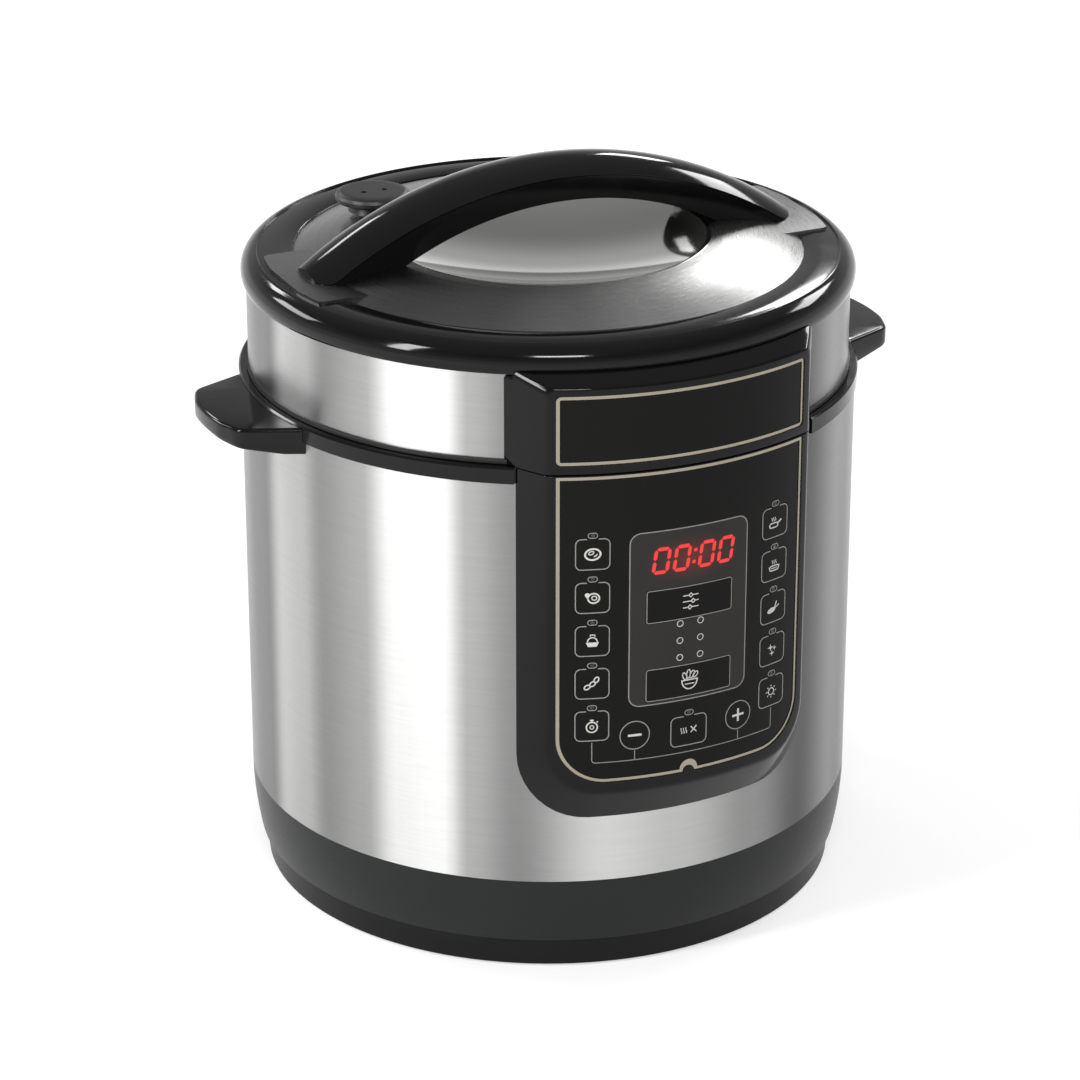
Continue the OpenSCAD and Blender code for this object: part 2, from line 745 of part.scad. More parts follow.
sensor_stem_drop = 12;
spring_z = bracket_z + bracket_t;
module sensor_button() {
    cap_z = sensor_top_z - sensor_cap_h;
    stem_z = outer_z - sensor_stem_drop;
    color(STEEL) union() {
        difference() {
            translate([0, 0, cap_z]) cylinder(r = sensor_r, h = sensor_cap_h);
            translate([0, 0, cap_z - eps])
                cylinder(r = sensor_r - sensor_wall, h = sensor_cap_h - sensor_cap_t + eps);
        }
        translate([0, 0, stem_z]) cylinder(r = sensor_stem_r, h = sensor_top_z - 1 - stem_z);
    }
}
// The sensor's coil spring, swept turn by turn between the bracket and the cap.
spring_r = 9;
spring_wire = 1.2;
spring_turns = 4;
spring_sides = 6;
spring_top_z = sensor_top_z - sensor_cap_t;
function coil_point(t) = let (a = t * 360 * spring_turns, rise = spring_top_z - spring_z - spring_wire)
    [spring_r * cos(a), spring_r * sin(a), spring_z + spring_wire / 2 + t * rise];
module sensor_spring() {
    steps = 12 * spring_turns;
    w = spring_wire / 2 * 0.98;
    points = [for (i = [0 : steps]) let (c = coil_point(i / steps), a = i / steps * 360 * spring_turns)
        each [for (k = [0 : spring_sides - 1]) let (b = 360 * k / spring_sides)
        c + w * [cos(b) * cos(a), cos(b) * sin(a), sin(b)]]];
    last = steps * spring_sides;
    caps = [[for (k = [0 : spring_sides - 1]) k], [for (k = [spring_sides - 1 : -1 : 0]) last + k]];
    sides = [for (i = [0 : steps - 1], k = [0 : spring_sides - 1])
        let (n = (k + 1) % spring_sides, lo = i * spring_sides, hi = (i + 1) * spring_sides)
        each [[lo + k, hi + k, lo + n], [lo + n, hi + k, hi + n]]];
    color(STEEL) polyhedron(points = points, faces = concat(caps, sides));
}
switch_r = 11;
switch_h = 16;
switch_drop = 22;
tab_h = 7;
tab_w = 3;
module pressure_switch() {
    at = [3 * switch_r, 0, outer_z - switch_drop];
    color("#e8e4d8") rotate([0, 0, heater_leg_from]) translate(at) union() {
        cylinder(r = switch_r, h = switch_h);
        for (x = [-4, 4]) translate([x, -tab_w / 2, 1 - tab_h]) cube([1, tab_w, tab_h]);
    }
}

// Electronics in the base: a board on four posts, with a relay, a transformer and a capacitor.
power_z = floor_top_z + 8;
power_board_size = [96, 58, board_t];
power_board_at = [-48, -104];
power_post_in = 6;
power_post_r = 3;
relay = [[-40, -92], [20, 16, 16]];
transformer = [[-10, -96], [28, 22, 20]];
connector = [[-38, -64], [26, 10, 12]];
capacitor_at = [32, -62];
capacitor_r = 7;
capacitor_h = 18;
module power_board() {
    top_z = power_z + board_t;
    color(BOARD) union() {
        translate([power_board_at[0], power_board_at[1], power_z]) cube(power_board_size);
        for (x = [power_post_in, power_board_size[0] - power_post_in])
            for (y = [power_post_in, power_board_size[1] - power_post_in])
                translate([power_board_at[0] + x, power_board_at[1] + y, floor_top_z])
                cylinder(r = power_post_r, h = power_z - floor_top_z);
        for (b = [relay, transformer, connector]) translate([b[0][0], b[0][1], top_z]) cube(b[1]);
        translate([capacitor_at[0], capacitor_at[1], top_z]) cylinder(r = capacitor_r, h = capacitor_h);
    }
}
pin = [4, recess_d - 3, 2];
earth_pin_z = 1;
live_pin_z = -4;
live_pin_x = 7;
module inlet_socket() {
    color(BLACK) inlet_at() union() {
        difference() {
            translate([-inlet_w / 2, -recess_d - wall, -inlet_h / 2]) cube([inlet_w, recess_d + wall, inlet_h]);
            translate([-recess_w / 2, -recess_d, -recess_h / 2]) cube([recess_w, recess_d + 1, recess_h]);
        }
        for (at = [[0, earth_pin_z], [-live_pin_x, live_pin_z], [live_pin_x, live_pin_z]])
            translate([at[0] - pin[0] / 2, -recess_d - eps, at[1]]) cube(pin);
    }
}

// The panel bezel: a hollow block wrapped round the front, open behind.
sharp = [0.3, 0.3];
bezel_hollow_in = 2;
module panel_bezel() {
    hollow_top_z = ring_z - 6;
    color(BLACK) difference() {
        intersection() {
            sloped_block(bezel_half, bezel_low, [seam_z - hairline, seam_z - hairline], bezel_corner, sharp);
            tube(body_r + fit, face_r, 0, seam_z);
        }
        wrapped(shelf_r, face_r + 5) window_outline(fit);
        wrapped(body_r - 1, shelf_r - bezel_t) intersection() {
            window_outline(-bezel_hollow_in);
            translate([-frame_half, frame_low_z]) square([2 * frame_half, hollow_top_z - frame_low_z]);
        }
        wrapped(shelf_r - bezel_t - 1, shelf_r + eps) translate([0, window_mid_z])
            rounded(window_w - 2, window_h - 2, corner_r);
        key_wells();
        pipe_holes(fit);
    }
}

// The keys' places: outlines at the front, and the same holes in what lies round them.
programme_keys = [for (s = [-1, 1], z = row_z) [s * key_ang, z]];
stem_r = 2;
module programme_outline(k, grow) {
    translate([0, k[1]]) rounded(key_w + 2 * grow, key_h + 2 * grow, corner_r + grow);
}
module round_outline(grow) {
    translate([0, round_key_z]) circle(r = round_key_r + grow);
}
module cancel_outline(grow) {
    translate([0, cancel_z]) rounded(cancel_w + 2 * grow, key_h + 2 * grow, corner_r + grow);
}
module key_holes(r_in, r_out) {
    for (k = programme_keys) at_front(k[0]) wrapped(r_in, r_out) programme_outline(k, key_gap);
    for (a = [-round_key_ang, round_key_ang]) at_front(a) wrapped(r_in, r_out) round_outline(key_gap);
    wrapped(r_in, r_out) cancel_outline(key_gap);
}
module key_wells() {
    key_holes(key_shelf_r, shelf_r + 0.1);
    for (k = programme_keys) at_front(k[0]) stem_hole(k[1]);
    for (a = [-round_key_ang, round_key_ang]) at_front(a) stem_hole(round_key_z);
    stem_hole(cancel_z);
}
module stem_hole(z) {
    translate([0, 0, z]) rotate([90, 0, 0]) cylinder(r = stem_r + key_gap, h = face_r + 1);
}

// The printed overlay, with a window for the display and a hole for each key.
window_corner = 4;
module lens_outline() {
    translate([0, window_mid_z]) rounded(window_w, window_h, window_corner);
}
module panel_overlay() {
    color("#0c0b0a") difference() {
        wrapped(shelf_r + eps, overlay_r) window_outline(-frame_w);
        wrapped(shelf_r - 1, overlay_r + 1) lens_outline();
        key_holes(shelf_r - 1, overlay_r + 1);
        pipe_holes(fit);
    }
}
frame_proud = 0.3;
module panel_frame() {
    color("#8f8876") difference() {
        wrapped(shelf_r + eps, overlay_r + frame_proud) window_outline(0);
        wrapped(shelf_r - 1, overlay_r + 2) window_outline(-frame_w);
    }
}

// The display: a tinted lens, the digit module behind it and the light pipes.
long_corner = 0.8;
module long_outline(z, grow) {
    translate([0, z]) rounded(long_key_w + 2 * grow, long_key_h + 2 * grow, long_corner + grow);
}
module display_lens() {
    color("#4a4a4a") difference() {
        wrapped(shelf_r + eps, overlay_r) lens_outline();
        for (z = [adjust_mid_z, menu_mid_z]) wrapped(shelf_r - 1, overlay_r + 1) long_outline(z, key_gap);
        pipe_holes(fit);
    }
}
digit_box = [52, 12.5, 22];
leg_r = 0.5;
module at_digit_legs() {
    for (x = [-20, -8, 8, 20], z = [-8, 8]) translate([x, -board_y - 1, digits_z + z])
        rotate([-90, 0, 0]) children();
}
module display_module() {
    color("#1c1c1c") union() {
        translate([-digit_box[0] / 2, -board_y - digit_box[1], digits_z - digit_box[2] / 2])
            cube(digit_box - [0, seat, 0]);
        at_digit_legs() cylinder(r = leg_r, h = board_t + 2);
    }
}
board_w = 100;
board_low_z = frame_low_z + 8;
board_top_z = ring_z - 18;
board_post_x = 46;
board_post_r = 3;
board_post_z = [frame_low_z + 14, row_z[0] - 7];
module control_board() {
    color(BOARD) difference() {
        union() {
            translate([-board_w / 2, -board_y, board_low_z])
                cube([board_w, board_t, board_top_z - board_low_z]);
            for (x = [-board_post_x, board_post_x], z = board_post_z) translate([x, -board_y, z])
                rotate([90, 0, 0]) cylinder(r = board_post_r, h = board_post(x));
            intersection() {
                tact_switches();
                translate([-frame_half, -face_r, 0]) cube([2 * frame_half, face_r - board_y + eps, seam_z]);
            }
        }
        at_digit_legs() cylinder(r = leg_r + fit, h = board_t + 3);
    }
}
function board_post(x) = sqrt(pow(shelf_r - bezel_t, 2) - pow(abs(x) + board_post_r, 2)) - board_y;
module tact_switches() {
    for (k = programme_keys) at_front(k[0]) switch_at(k[1], key_ang);
    for (a = [-round_key_ang, round_key_ang]) at_front(a) switch_at(round_key_z, round_key_ang);
    for (z = [cancel_z, adjust_mid_z, menu_mid_z]) switch_at(z, 0);
}
tact_r = 2.5;
module switch_at(z, ang) {
    back_y = board_y - 2;
    translate([0, -back_y, z]) rotate([90, 0, 0])
        cylinder(r = tact_r, h = stem_back(ang) - key_travel - 0.1 - back_y);
}
function stem_back(ang) = (board_y + 5) / cos(ang);

// Light pipes: one over each key that has a lamp, and six below the display.
pipe_r = 1.1;
lamp_rows = [for (i = [0 : 2]) window_z + 22 + (2 - i) * 8.6];
lamp_ang = 1.9;
lamp_lift = key_h / 2 + 1.6;
key_lamps = concat([for (k = programme_keys) [k[0], k[1] + lamp_lift]], [[0, cancel_z + lamp_lift]]);
menu_lamps = [for (s = [-1, 1], z = lamp_rows) [s * lamp_ang, z]];
lamps = concat(key_lamps, menu_lamps);
function pipe_back(a) = board_y / cos(a) + pipe_r * tan(abs(a)) + fit;
module pipe_holes(grow) {
    for (p = lamps) at_front(p[0]) translate([0, -body_r, p[1]]) rotate([90, 0, 0])
        cylinder(r = pipe_r + grow, h = bezel_depth + 2);
}
module light_pipes() {
    color("#e6e6e0") intersection() {
        for (p = lamps) at_front(p[0]) translate([0, -pipe_back(p[0]), p[1]]) rotate([90, 0, 0])
            cylinder(r = pipe_r, h = overlay_r - pipe_back(p[0]) + 1, $fn = 24);
        cylinder(r = overlay_r, h = seam_z);
    }
}

// A key: a pad in its hole in the overlay, on a stem through the bezel's shelf.
module key_pad() {
    wrapped(key_shelf_r + key_travel + 0.1, overlay_r) children();
}
module stem(z, ang) {
    translate([0, -stem_back(ang), z]) rotate([90, 0, 0])
        cylinder(r = stem_r, h = shelf_r + 0.2 - stem_back(ang));
}
module programme_key(i) {
    k = programme_keys[i];
    color(BLACK) at_front(k[0]) union() {
        key_pad() programme_outline(k, 0);
        stem(k[1], key_ang);
    }
}
module round_key(side) {
    color(BLACK) at_front(side * round_key_ang) union() {
        key_pad() round_outline(0);
        stem(round_key_z, round_key_ang);
    }
}
module cancel_key() {
    color(BLACK) union() {
        key_pad() cancel_outline(0);
        stem(cancel_z, 0);
    }
}
module long_key(z) {
    color(BLACK) union() {
        key_pad() long_outline(z, 0);
        stem(z, 0);
    }
}
module key_program_1() { programme_key(0); }
module key_program_2() { programme_key(1); }
module key_program_3() { programme_key(2); }
module key_program_4() { programme_key(3); }
module key_program_5() { programme_key(4); }
module key_program_6() { programme_key(5); }
module key_program_7() { programme_key(6); }
module key_program_8() { programme_key(7); }
module key_program_9() { programme_key(8); }
module key_program_10() { programme_key(9); }
module key_minus() { round_key(-1); }
module key_plus() { round_key(1); }
module key_cancel() { cancel_key(); }
module key_adjust() { long_key(adjust_mid_z); }
module key_menu() { long_key(menu_mid_z); }

// The condensate cup at the back slides out of two rails under the drain spout.
cup_top_z = ring_z - 6;
cup_y = body_r + 2.2;
cup_corner = 5;
ear_w = 3;
ear_t = 2;
ear_mid_z = cup_top_z - 3 - ear_t / 2;
rail_t = 2;
rail_gap = 0.3;
rail_l = cup_d - 8;
bracket_inner_y = body_r - 12;
bracket_back_h = 8;
module cup_plan(shrink) {
    translate([0, cup_y + cup_d / 2]) rounded(cup_w - 2 * shrink, cup_d - 2 * shrink, cup_corner - shrink);
}
module condensate_cup() {
    color("#d7dadc") union() {
        difference() {
            translate([0, 0, cup_top_z - cup_h]) linear_extrude(cup_h) cup_plan(0);
            translate([0, 0, cup_top_z - cup_h + cup_wall]) linear_extrude(cup_h) cup_plan(cup_wall);
        }
        for (x = [-1, 1]) translate([x * (cup_w / 2 + ear_w / 2 - 0.5), cup_y + rail_l / 2 + 1, ear_mid_z])
            cube([ear_w + 1, rail_l - 2, ear_t], center = true);
    }
}
module cup_bracket() {
    in_x = cup_w / 2 + seat;
    out_x = cup_w / 2 + ear_w + rail_gap;
    low_z = ear_mid_z - ear_t / 2 - rail_gap;
    top_z = ear_mid_z + ear_t / 2 + rail_gap;
    channel = [[in_x, low_z - rail_t], [out_x + rail_t, low_z - rail_t], [out_x + rail_t, top_z + rail_t],
        [in_x, top_z + rail_t], [in_x, top_z], [out_x, top_z], [out_x, low_z], [in_x, low_z]];
    back_w = 2 * (out_x + rail_t - 1);
    back_h = top_z - low_z + 2 * rail_t + 1 + bracket_back_h;
    color(BLACK) difference() {
        union() {
            translate([-back_w / 2, bracket_inner_y, low_z - rail_t - bracket_back_h])
                cube([back_w, cup_y - rail_gap - bracket_inner_y, back_h]);
            for (s = [0, 1]) mirror([s, 0, 0]) translate([0, cup_y + rail_l, 0]) rotate([90, 0, 0])
                linear_extrude(cup_y + rail_l - bracket_inner_y - 4) polygon(channel);
        }
        cylinder(r = body_r + fit, h = seam_z, $fn = 360);
    }
}
side_head_h = 2;
side_sag = 3;
module body_screws() {
    color(STEEL) union() {
        at_posts() {
            translate([0, 0, screw_head_z - screw_head_h]) cylinder(r = screw_head_r, h = screw_head_h);
            translate([0, 0, screw_head_z - eps])
                cylinder(r = screw_r, h = post_top_z + seat + outer_wall - screw_head_z);
        }
        for (s = [0, 180], y = [-1, 1]) rotate([0, 0, s])
            translate([skin_in_r - deck_t - side_sag, y * side_screw_y, side_screw_z])
            rotate([0, 90, 0]) side_screw();
    }
}
module side_screw() {
    translate([0, 0, -side_head_h]) cylinder(r = screw_head_r, h = side_head_h);
    translate([0, 0, -eps]) cylinder(r = screw_r, h = side_sag + deck_t + skin_t + side_screw_l - 2);
}

// The small carrier in the mid ring that the closed lid turns with.
shuttle_rise = 6;
module lid_lock_shuttle() {
    color("#b4402c")
        sector(shuttle_in_r, shuttle_in_r + shuttle_t, seam_z - deck_t, seam_z + shuttle_rise,
            shuttle_at, shuttle_ang);
}

// The lid's outside: lip, steel band and top ring.
trim_in_r = lid_in_r - trim_t;
trim_over = 0.8;
claw_ang = 1.2;
claw_gap = 0.4;
module lid_trim() {
    rim = [[trim_in_r, lid_z], [lid_r + trim_over, lid_z], [lid_r + trim_over, band_z], [lid_in_r, band_z]];
    color(BLACK) union() {
        rotate_extrude() polygon(concat(rim, [[lid_in_r, band_z + lip_h], [trim_in_r, band_z + lip_h]]));
        for (a = [shuttle_at - claw_gap - claw_ang, shuttle_at + shuttle_ang + claw_gap])
            sector(shuttle_in_r - 0.2, trim_in_r + 0.1, lid_z + 1, band_z + lip_h, a, claw_ang);
    }
}
module lid_band() {
    color(STEEL) tube(lid_in_r, lid_r, band_z, band_top_z);
}
ring_round = 9.5;
ring_crown_r = 62;
ledge_w = 5;
ledge_drop = 3;
module lid_ring() {
    c = [ring_out_r - ring_round, lid_ring_z + ring_round * 0.42];
    crown_x = (plate_r + c[0] + 1.6) / 2;
    half = crown_x - plate_r;
    ledge_z = plate_edge_z - sheet_t - wall;
    outer = [for (a = [-24 : 8 : 80]) c + ring_round * [cos(a), sin(a)]];
    crown = [for (i = [1 : -0.2 : -1])
        [crown_x + half * i, crown_z - ring_crown_r + sqrt(pow(ring_crown_r, 2) - pow(half * i, 2))]];
    ledge = [[plate_r, plate_edge_z - sheet_t], [plate_r - ledge_w, plate_edge_z - sheet_t],
        [plate_r - ledge_w, ledge_z]];
    skirt = [[lid_in_r - wall, ledge_z - ledge_drop], [lid_in_r - wall, band_top_z - lip_h],
        [lid_in_r - fit, band_top_z - lip_h], [lid_in_r - fit, band_top_z + fit],
        [lid_r + fit, band_top_z + fit]];
    color(BLACK) rotate_extrude() polygon(concat([[lid_r + fit, lid_ring_z]], outer, crown, ledge, skirt));
}
// One pressing: sloping rim, lobes under the handle and a dished middle.
dish_lip = 1.2;
lobe_corner_r = 8;
module dome_profile() {
    steps = 8;
    dish_steps = 12;
    dish_arc_r = (pow(dish_r, 2) + pow(dish_depth, 2)) / (2 * dish_depth);
    dish_low_z = dish_rim_z - dish_depth;
    function dish_z(r) = let (flat_r = max(r, dish_r / dish_steps))
        dish_low_z + dish_arc_r - sqrt(pow(dish_arc_r, 2) - pow(flat_r, 2));
    slope = [for (i = [0 : steps]) let (r = dish_r + (plate_r - fit - dish_r) * i / steps) [r, dome_z(r)]];
    dish = [for (i = [0 : dish_steps]) let (r = (dish_r - dish_lip) * max(i, 0.5) / dish_steps)
        [i == 0 ? 0 : r, dish_z(r)]];
    top = concat(dish, slope);
    polygon(concat(top, [for (i = [len(top) - 1 : -1 : 0]) top[i] - [0, sheet_t]]));
}
module lid_dome_plate() {
    color(ALLOY) difference() {
        union() {
            rotate_extrude() dome_profile();
            intersection() {
                difference() {
                    tube(plate_r - 12, lobe_reach, plate_edge_z - 2, lobe_top_z);
                    under_lobe();
                }
                linear_extrude(lobe_top_z + 1) rounded(2 * lobe_reach - 2, lobe_w, lobe_corner_r);
            }
        }
        translate([-valve_x, valve_y, 0]) cylinder(r = vent_r + 3, h = handle_z);
        translate([valve_x, valve_y, 0]) cylinder(r = float_r + seat, h = handle_z);
        at_studs() cylinder(r = stud_r + fit, h = handle_z);
    }
}
// What lies below the lobes: the ring, and the dome plate's own underside.
module under_lobe() {
    lid_ring();
    tube(plate_r - 13, plate_r + fit, plate_edge_z - 4, plate_edge_z - sheet_t);
}

// The lid handle: a two-part arch on two studs.
stud_x = plate_r - 19.5;
stud_r = 2.5;
stud_nut_r = 5;
stud_top_z = lobe_top_z + 9;
handle_corner_r = 11;
foot_low_z = crown_z - 3;
bed_z = crown_z - 10;
module at_studs() {
    for (x = [-stud_x, stud_x]) translate([x, 0, 0]) children();
}
module handle_plan() {
    linear_extrude(handle_z + handle_crown + 5) rounded(handle_l, handle_w, handle_corner_r);
}
module lid_handle_base() {
    color(BLACK) difference() {
        intersection() {
            handle_plan();
            arch_barrel(handle_z - handle_seam, handle_arc_r);
            translate([-handle_l, -handle_w, foot_low_z]) cube([2 * handle_l, 2 * handle_w, handle_z]);
        }
        arch_barrel(handle_under_z, grip_arc_r);
        handle_bed();
        stud_holes();
    }
}
module stud_holes() {
    low_z = crown_z - 5;
    at_studs() translate([0, 0, low_z]) cylinder(r = stud_r + fit, h = stud_top_z + 0.5 - low_z);
}
// A round bar along Y whose top is at a height: the handle's outer or inner curve.
module arch_barrel(top_z, r) {
    translate([0, 0, top_z - r]) rotate([90, 0, 0])
        cylinder(r = r, h = handle_w + 20, center = true, $fn = 360);
}
// What the handle's feet stand on.
module handle_bed() {
    rotate_extrude() {
        dome = [for (i = [0 : 8]) let (r = dish_r + (plate_r - dish_r) * i / 8) [r, dome_z(r) + fit]];
        polygon(concat([[0, bed_z], [0, dish_rim_z + fit]], dome, [[plate_r, bed_z]]));
    }
    intersection() {
        tube(plate_r - 12, ring_out_r + 5, bed_z, lobe_top_z + fit);
        translate([0, 0, bed_z]) linear_extrude(lobe_top_z) square([2 * ring_out_r, lobe_w], center = true);
    }
}
module lid_handle_top() {
    chord = handle_w / 2 + 0.5;
    seg_r = (pow(chord, 2) + pow(handle_crown, 2)) / (2 * handle_crown);
    color(BLACK) difference() {
        intersection() {
            translate([0, 0, handle_z - handle_arc_r]) rotate([90, 0, 0]) rotate([0, 0, 45])
                rotate_extrude(angle = 90, $fn = 180)
                intersection() {
                    translate([handle_arc_r + handle_crown - seg_r, 0]) circle(r = seg_r);
                    translate([handle_arc_r, -chord - 1]) square([handle_crown + 1, 2 * chord + 2]);
                }
            handle_plan();
        }
        handle_bed();
        stud_holes();
    }
}
lid_bezel_corner = [3, 4];
module lid_bezel() {
    color(BLACK) difference() {
        intersection() {
            sloped_block(bezel_half, [seam_z + hairline, seam_z + hairline], bezel_top, sharp,
                lid_bezel_corner);
            tube(lid_r + fit, face_r, 0, dish_rim_z);
        }
        wrapped(shelf_r, face_r + 5) badge_outline(fit);
        tube(lid_r - 1, ring_out_r + seat, lid_ring_z - fit, dish_rim_z);
        tube(lid_r - 1, lid_r + trim_over + fit, lid_z - 1, band_z + fit);
        wrapped(lid_r - 1, shelf_r - bezel_t) translate([0, badge_mid_z])
            square([2 * frame_half - 8, badge_h - 6], center = true);
    }
}
module badge_plate() {
    color("#0c0b0a") wrapped(shelf_r + eps, overlay_r) badge_outline(-frame_w);
}
module badge_frame() {
    color("#8f8876") difference() {
        wrapped(shelf_r + eps, overlay_r + frame_proud) badge_outline(0);
        wrapped(shelf_r - 1, overlay_r + 2) badge_outline(-frame_w);
    }
}

// The pressure lid: a pressing whose skirt carries the inward lock lugs.
press_step = 6;
press_screw_r = 4;
module pressure_lid() {
    low_z = press_z - press_step;
    under = [[0, press_z], [gasket_out_r + 1, press_z], [gasket_out_r + 3, low_z], [skirt_in_r - 4, low_z],
        [skirt_in_r, low_z - 3]];
    rim = [[skirt_in_r, lid_lug_z], [skirt_out_r, lid_lug_z], [skirt_out_r, low_z - 1]];
    over = [[skirt_out_r - 4.5, low_z + press_t], [gasket_out_r + 4, low_z + press_t],
        [gasket_out_r + 2, press_top_z], [0, press_top_z]];
    color(ALLOY) difference() {
        union() {
            rotate_extrude() polygon(concat(under, rim, over));
            for (i = [0 : lug_n - 1])
                sector(lid_lug_in_r, skirt_in_r + 0.5, lid_lug_z, lid_lug_top_z,
                    (i + 0.5) * lug_pitch - lug_ang / 2, lug_ang);
            translate([0, 0, nut_z + 2]) cylinder(r = press_screw_r, h = press_z - nut_z - 2 + eps);
        }
        translate([-valve_x, valve_y, press_z - 1]) cylinder(r = vent_r + fit, h = press_t + 2);
        translate([valve_x, valve_y, press_z - 1]) cylinder(r = grommet_r + fit, h = press_t + 2);
        at_studs() translate([0, 0, press_z - 1]) cylinder(r = stud_r + fit, h = press_t + 2);
    }
}
module lid_studs() {
    color(STEEL) at_studs() {
        translate([0, 0, press_z]) cylinder(r = stud_r, h = stud_top_z - press_z);
        translate([0, 0, press_top_z + fit])
            cylinder(r = stud_nut_r, h = plate_edge_z - 4 - press_top_z, $fn = 6);
    }
}
gasket_wall = 5;
module lid_gasket() {
    in_r = gasket_in_r + 1;
    low_z = rim_z + seat;
    color("#ece9e1") rotate_extrude() polygon([[gasket_in_r, low_z], [gasket_in_r + gasket_wall, low_z],
        [gasket_in_r + gasket_wall + 2, low_z + 2], [gasket_out_r, low_z + 1], [gasket_out_r, press_z - fit],
        [in_r, press_z - fit], [in_r, tray_z + tray_t], [tray_r, tray_z + tray_t], [tray_r, tray_z],
        [in_r, tray_z], [in_r, low_z + 3], [gasket_in_r - 2, low_z + 1]]);
}
nut_z = tray_z - 8;
nut_r = 9;
tray_bead_r = 30;
tray_bead_w = 30;
tray_bead_h = 1.6;
module gasket_plate() {
    bead_out_r = tray_bead_r + tray_bead_w;
    low = [[0, 0], [tray_bead_r, 0], [tray_bead_r + 3, tray_bead_h], [bead_out_r, tray_bead_h],
        [bead_out_r + 3, 0], [tray_r - fit, 0]];
    high = [for (i = [len(low) - 1 : -1 : 0]) [low[i][0] + tray_lean[i], low[i][1] + tray_t]];
    color(STEEL) difference() {
        translate([0, 0, tray_z]) rotate_extrude() polygon(concat(low, high));
        translate([0, 0, tray_z - 1]) cylinder(r = press_screw_r + fit, h = 4);
        translate([-valve_x, valve_y, tray_z - 1]) cylinder(r = vent_r + 1.5, h = 4);
        translate([valve_x, valve_y, tray_z - 1]) cylinder(r = float_cap_r + 1, h = 4);
    }
}
tray_lean = [0, -0.3, -0.3, 0.3, 0.3, 0];
module gasket_plate_nut() {
    color("#3a3a3a") difference() {
        translate([0, 0, nut_z]) cylinder(r = nut_r, h = tray_z - nut_z - eps);
        translate([0, 0, nut_z + 2]) cylinder(r = press_screw_r + fit, h = tray_z - nut_z);
    }
}

// The steam path: pipe, shield and the turning valve on top.
valve_at_r = norm([valve_x, valve_y]);
vent_top_z = dome_z(valve_at_r) + 5;
valve_base_z = dome_z(valve_at_r - valve_r * 0.7) + seat;
vent_low_z = tray_z - 3;
vent_bore_r = 1.5;
module vent_pipe() {
    color(STEEL) translate([-valve_x, valve_y, 0]) difference() {
        union() {
            translate([0, 0, vent_low_z]) cylinder(r = vent_r, h = vent_top_z - vent_low_z);
            translate([0, 0, press_top_z + fit]) cylinder(r = vent_r + 3, h = 4, $fn = 6);
            translate([0, 0, press_z - 2.5]) cylinder(r = vent_r + 2.5, h = 2.5 - fit);
        }
        translate([0, 0, vent_low_z - 1]) cylinder(r = vent_bore_r, h = vent_top_z - vent_low_z + 2);
    }
}
shield_r = 9;
shield_t = 0.8;
shield_h = 9;
module vent_shield() {
    low_z = tray_z - shield_h;
    color(STEEL) translate([-valve_x, valve_y, 0]) difference() {
        translate([0, 0, low_z]) cylinder(r = shield_r, h = shield_h - eps);
        translate([0, 0, low_z + 1]) cylinder(r = shield_r - shield_t, h = shield_h);
        for (a = [0 : 30 : 150]) rotate([0, 0, a]) translate([-shield_r - 1, -0.8, low_z + 2])
            cube([2 * shield_r + 2, 1.6, 5]);
    }
}
valve_neck = 0.6;
valve_hole_x = 5.5;
valve_hole_r = 1.4;
module valve_knob() {
    hub = [[0, 0], [valve_r * (valve_neck + 0.06), 0], [valve_r * valve_neck, 3],
        [valve_r * (valve_neck + 0.12), 4.6]];
    rim = [[valve_r - 0.6, 5.2], [valve_r, 6], [valve_r, valve_h - 2.4], [valve_r - 0.8, valve_h - 1]];
    top = [[valve_r - 2.6, valve_h - 0.2], [valve_r - 5, valve_h], [0, valve_h]];
    color(BLACK) translate([-valve_x, valve_y, 0]) difference() {
        translate([0, 0, valve_base_z]) rotate_extrude() polygon(concat(hub, rim, top));
        translate([0, 0, valve_base_z - 1]) cylinder(r = vent_r + run_fit, h = vent_top_z - valve_base_z + 1.4);
        for (x = [-valve_hole_x, valve_hole_x]) translate([x, -2, vent_top_z + 2])
            cylinder(r = valve_hole_r, h = valve_h);
    }
}
grommet_r = 6.5;
grommet_lip = 1.5;
grommet_foot = 1.2;
float_cap_r = 4.5;
float_cap_h = 2;
float_collar = 0.8;
float_top_z = dome_z(valve_at_r) - 0.2;
module float_grommet() {
    color("#c9553d") translate([valve_x, valve_y, 0]) difference() {
        union() {
            translate([0, 0, press_z]) cylinder(r = grommet_r, h = press_t);
            translate([0, 0, press_top_z]) cylinder(r = grommet_r + grommet_lip, h = grommet_lip);
            translate([0, 0, press_z - grommet_foot]) cylinder(r = grommet_r + grommet_foot, h = grommet_foot);
        }
        translate([0, 0, press_z - 3]) cylinder(r = float_r + run_fit, h = press_t + 8);
    }
}
module float_pin() {
    cap_top_z = press_z - grommet_foot - float_travel - seat;
    color(STEEL) translate([valve_x, valve_y, 0]) union() {
        translate([0, 0, cap_top_z - float_cap_h]) cylinder(r = float_cap_r, h = float_cap_h);
        translate([0, 0, cap_top_z - 1]) cylinder(r = float_r, h = float_top_z - cap_top_z + 1);
        translate([0, 0, press_top_z + grommet_lip + fit])
            cylinder(r = float_r + float_collar, h = grommet_foot);
    }
}

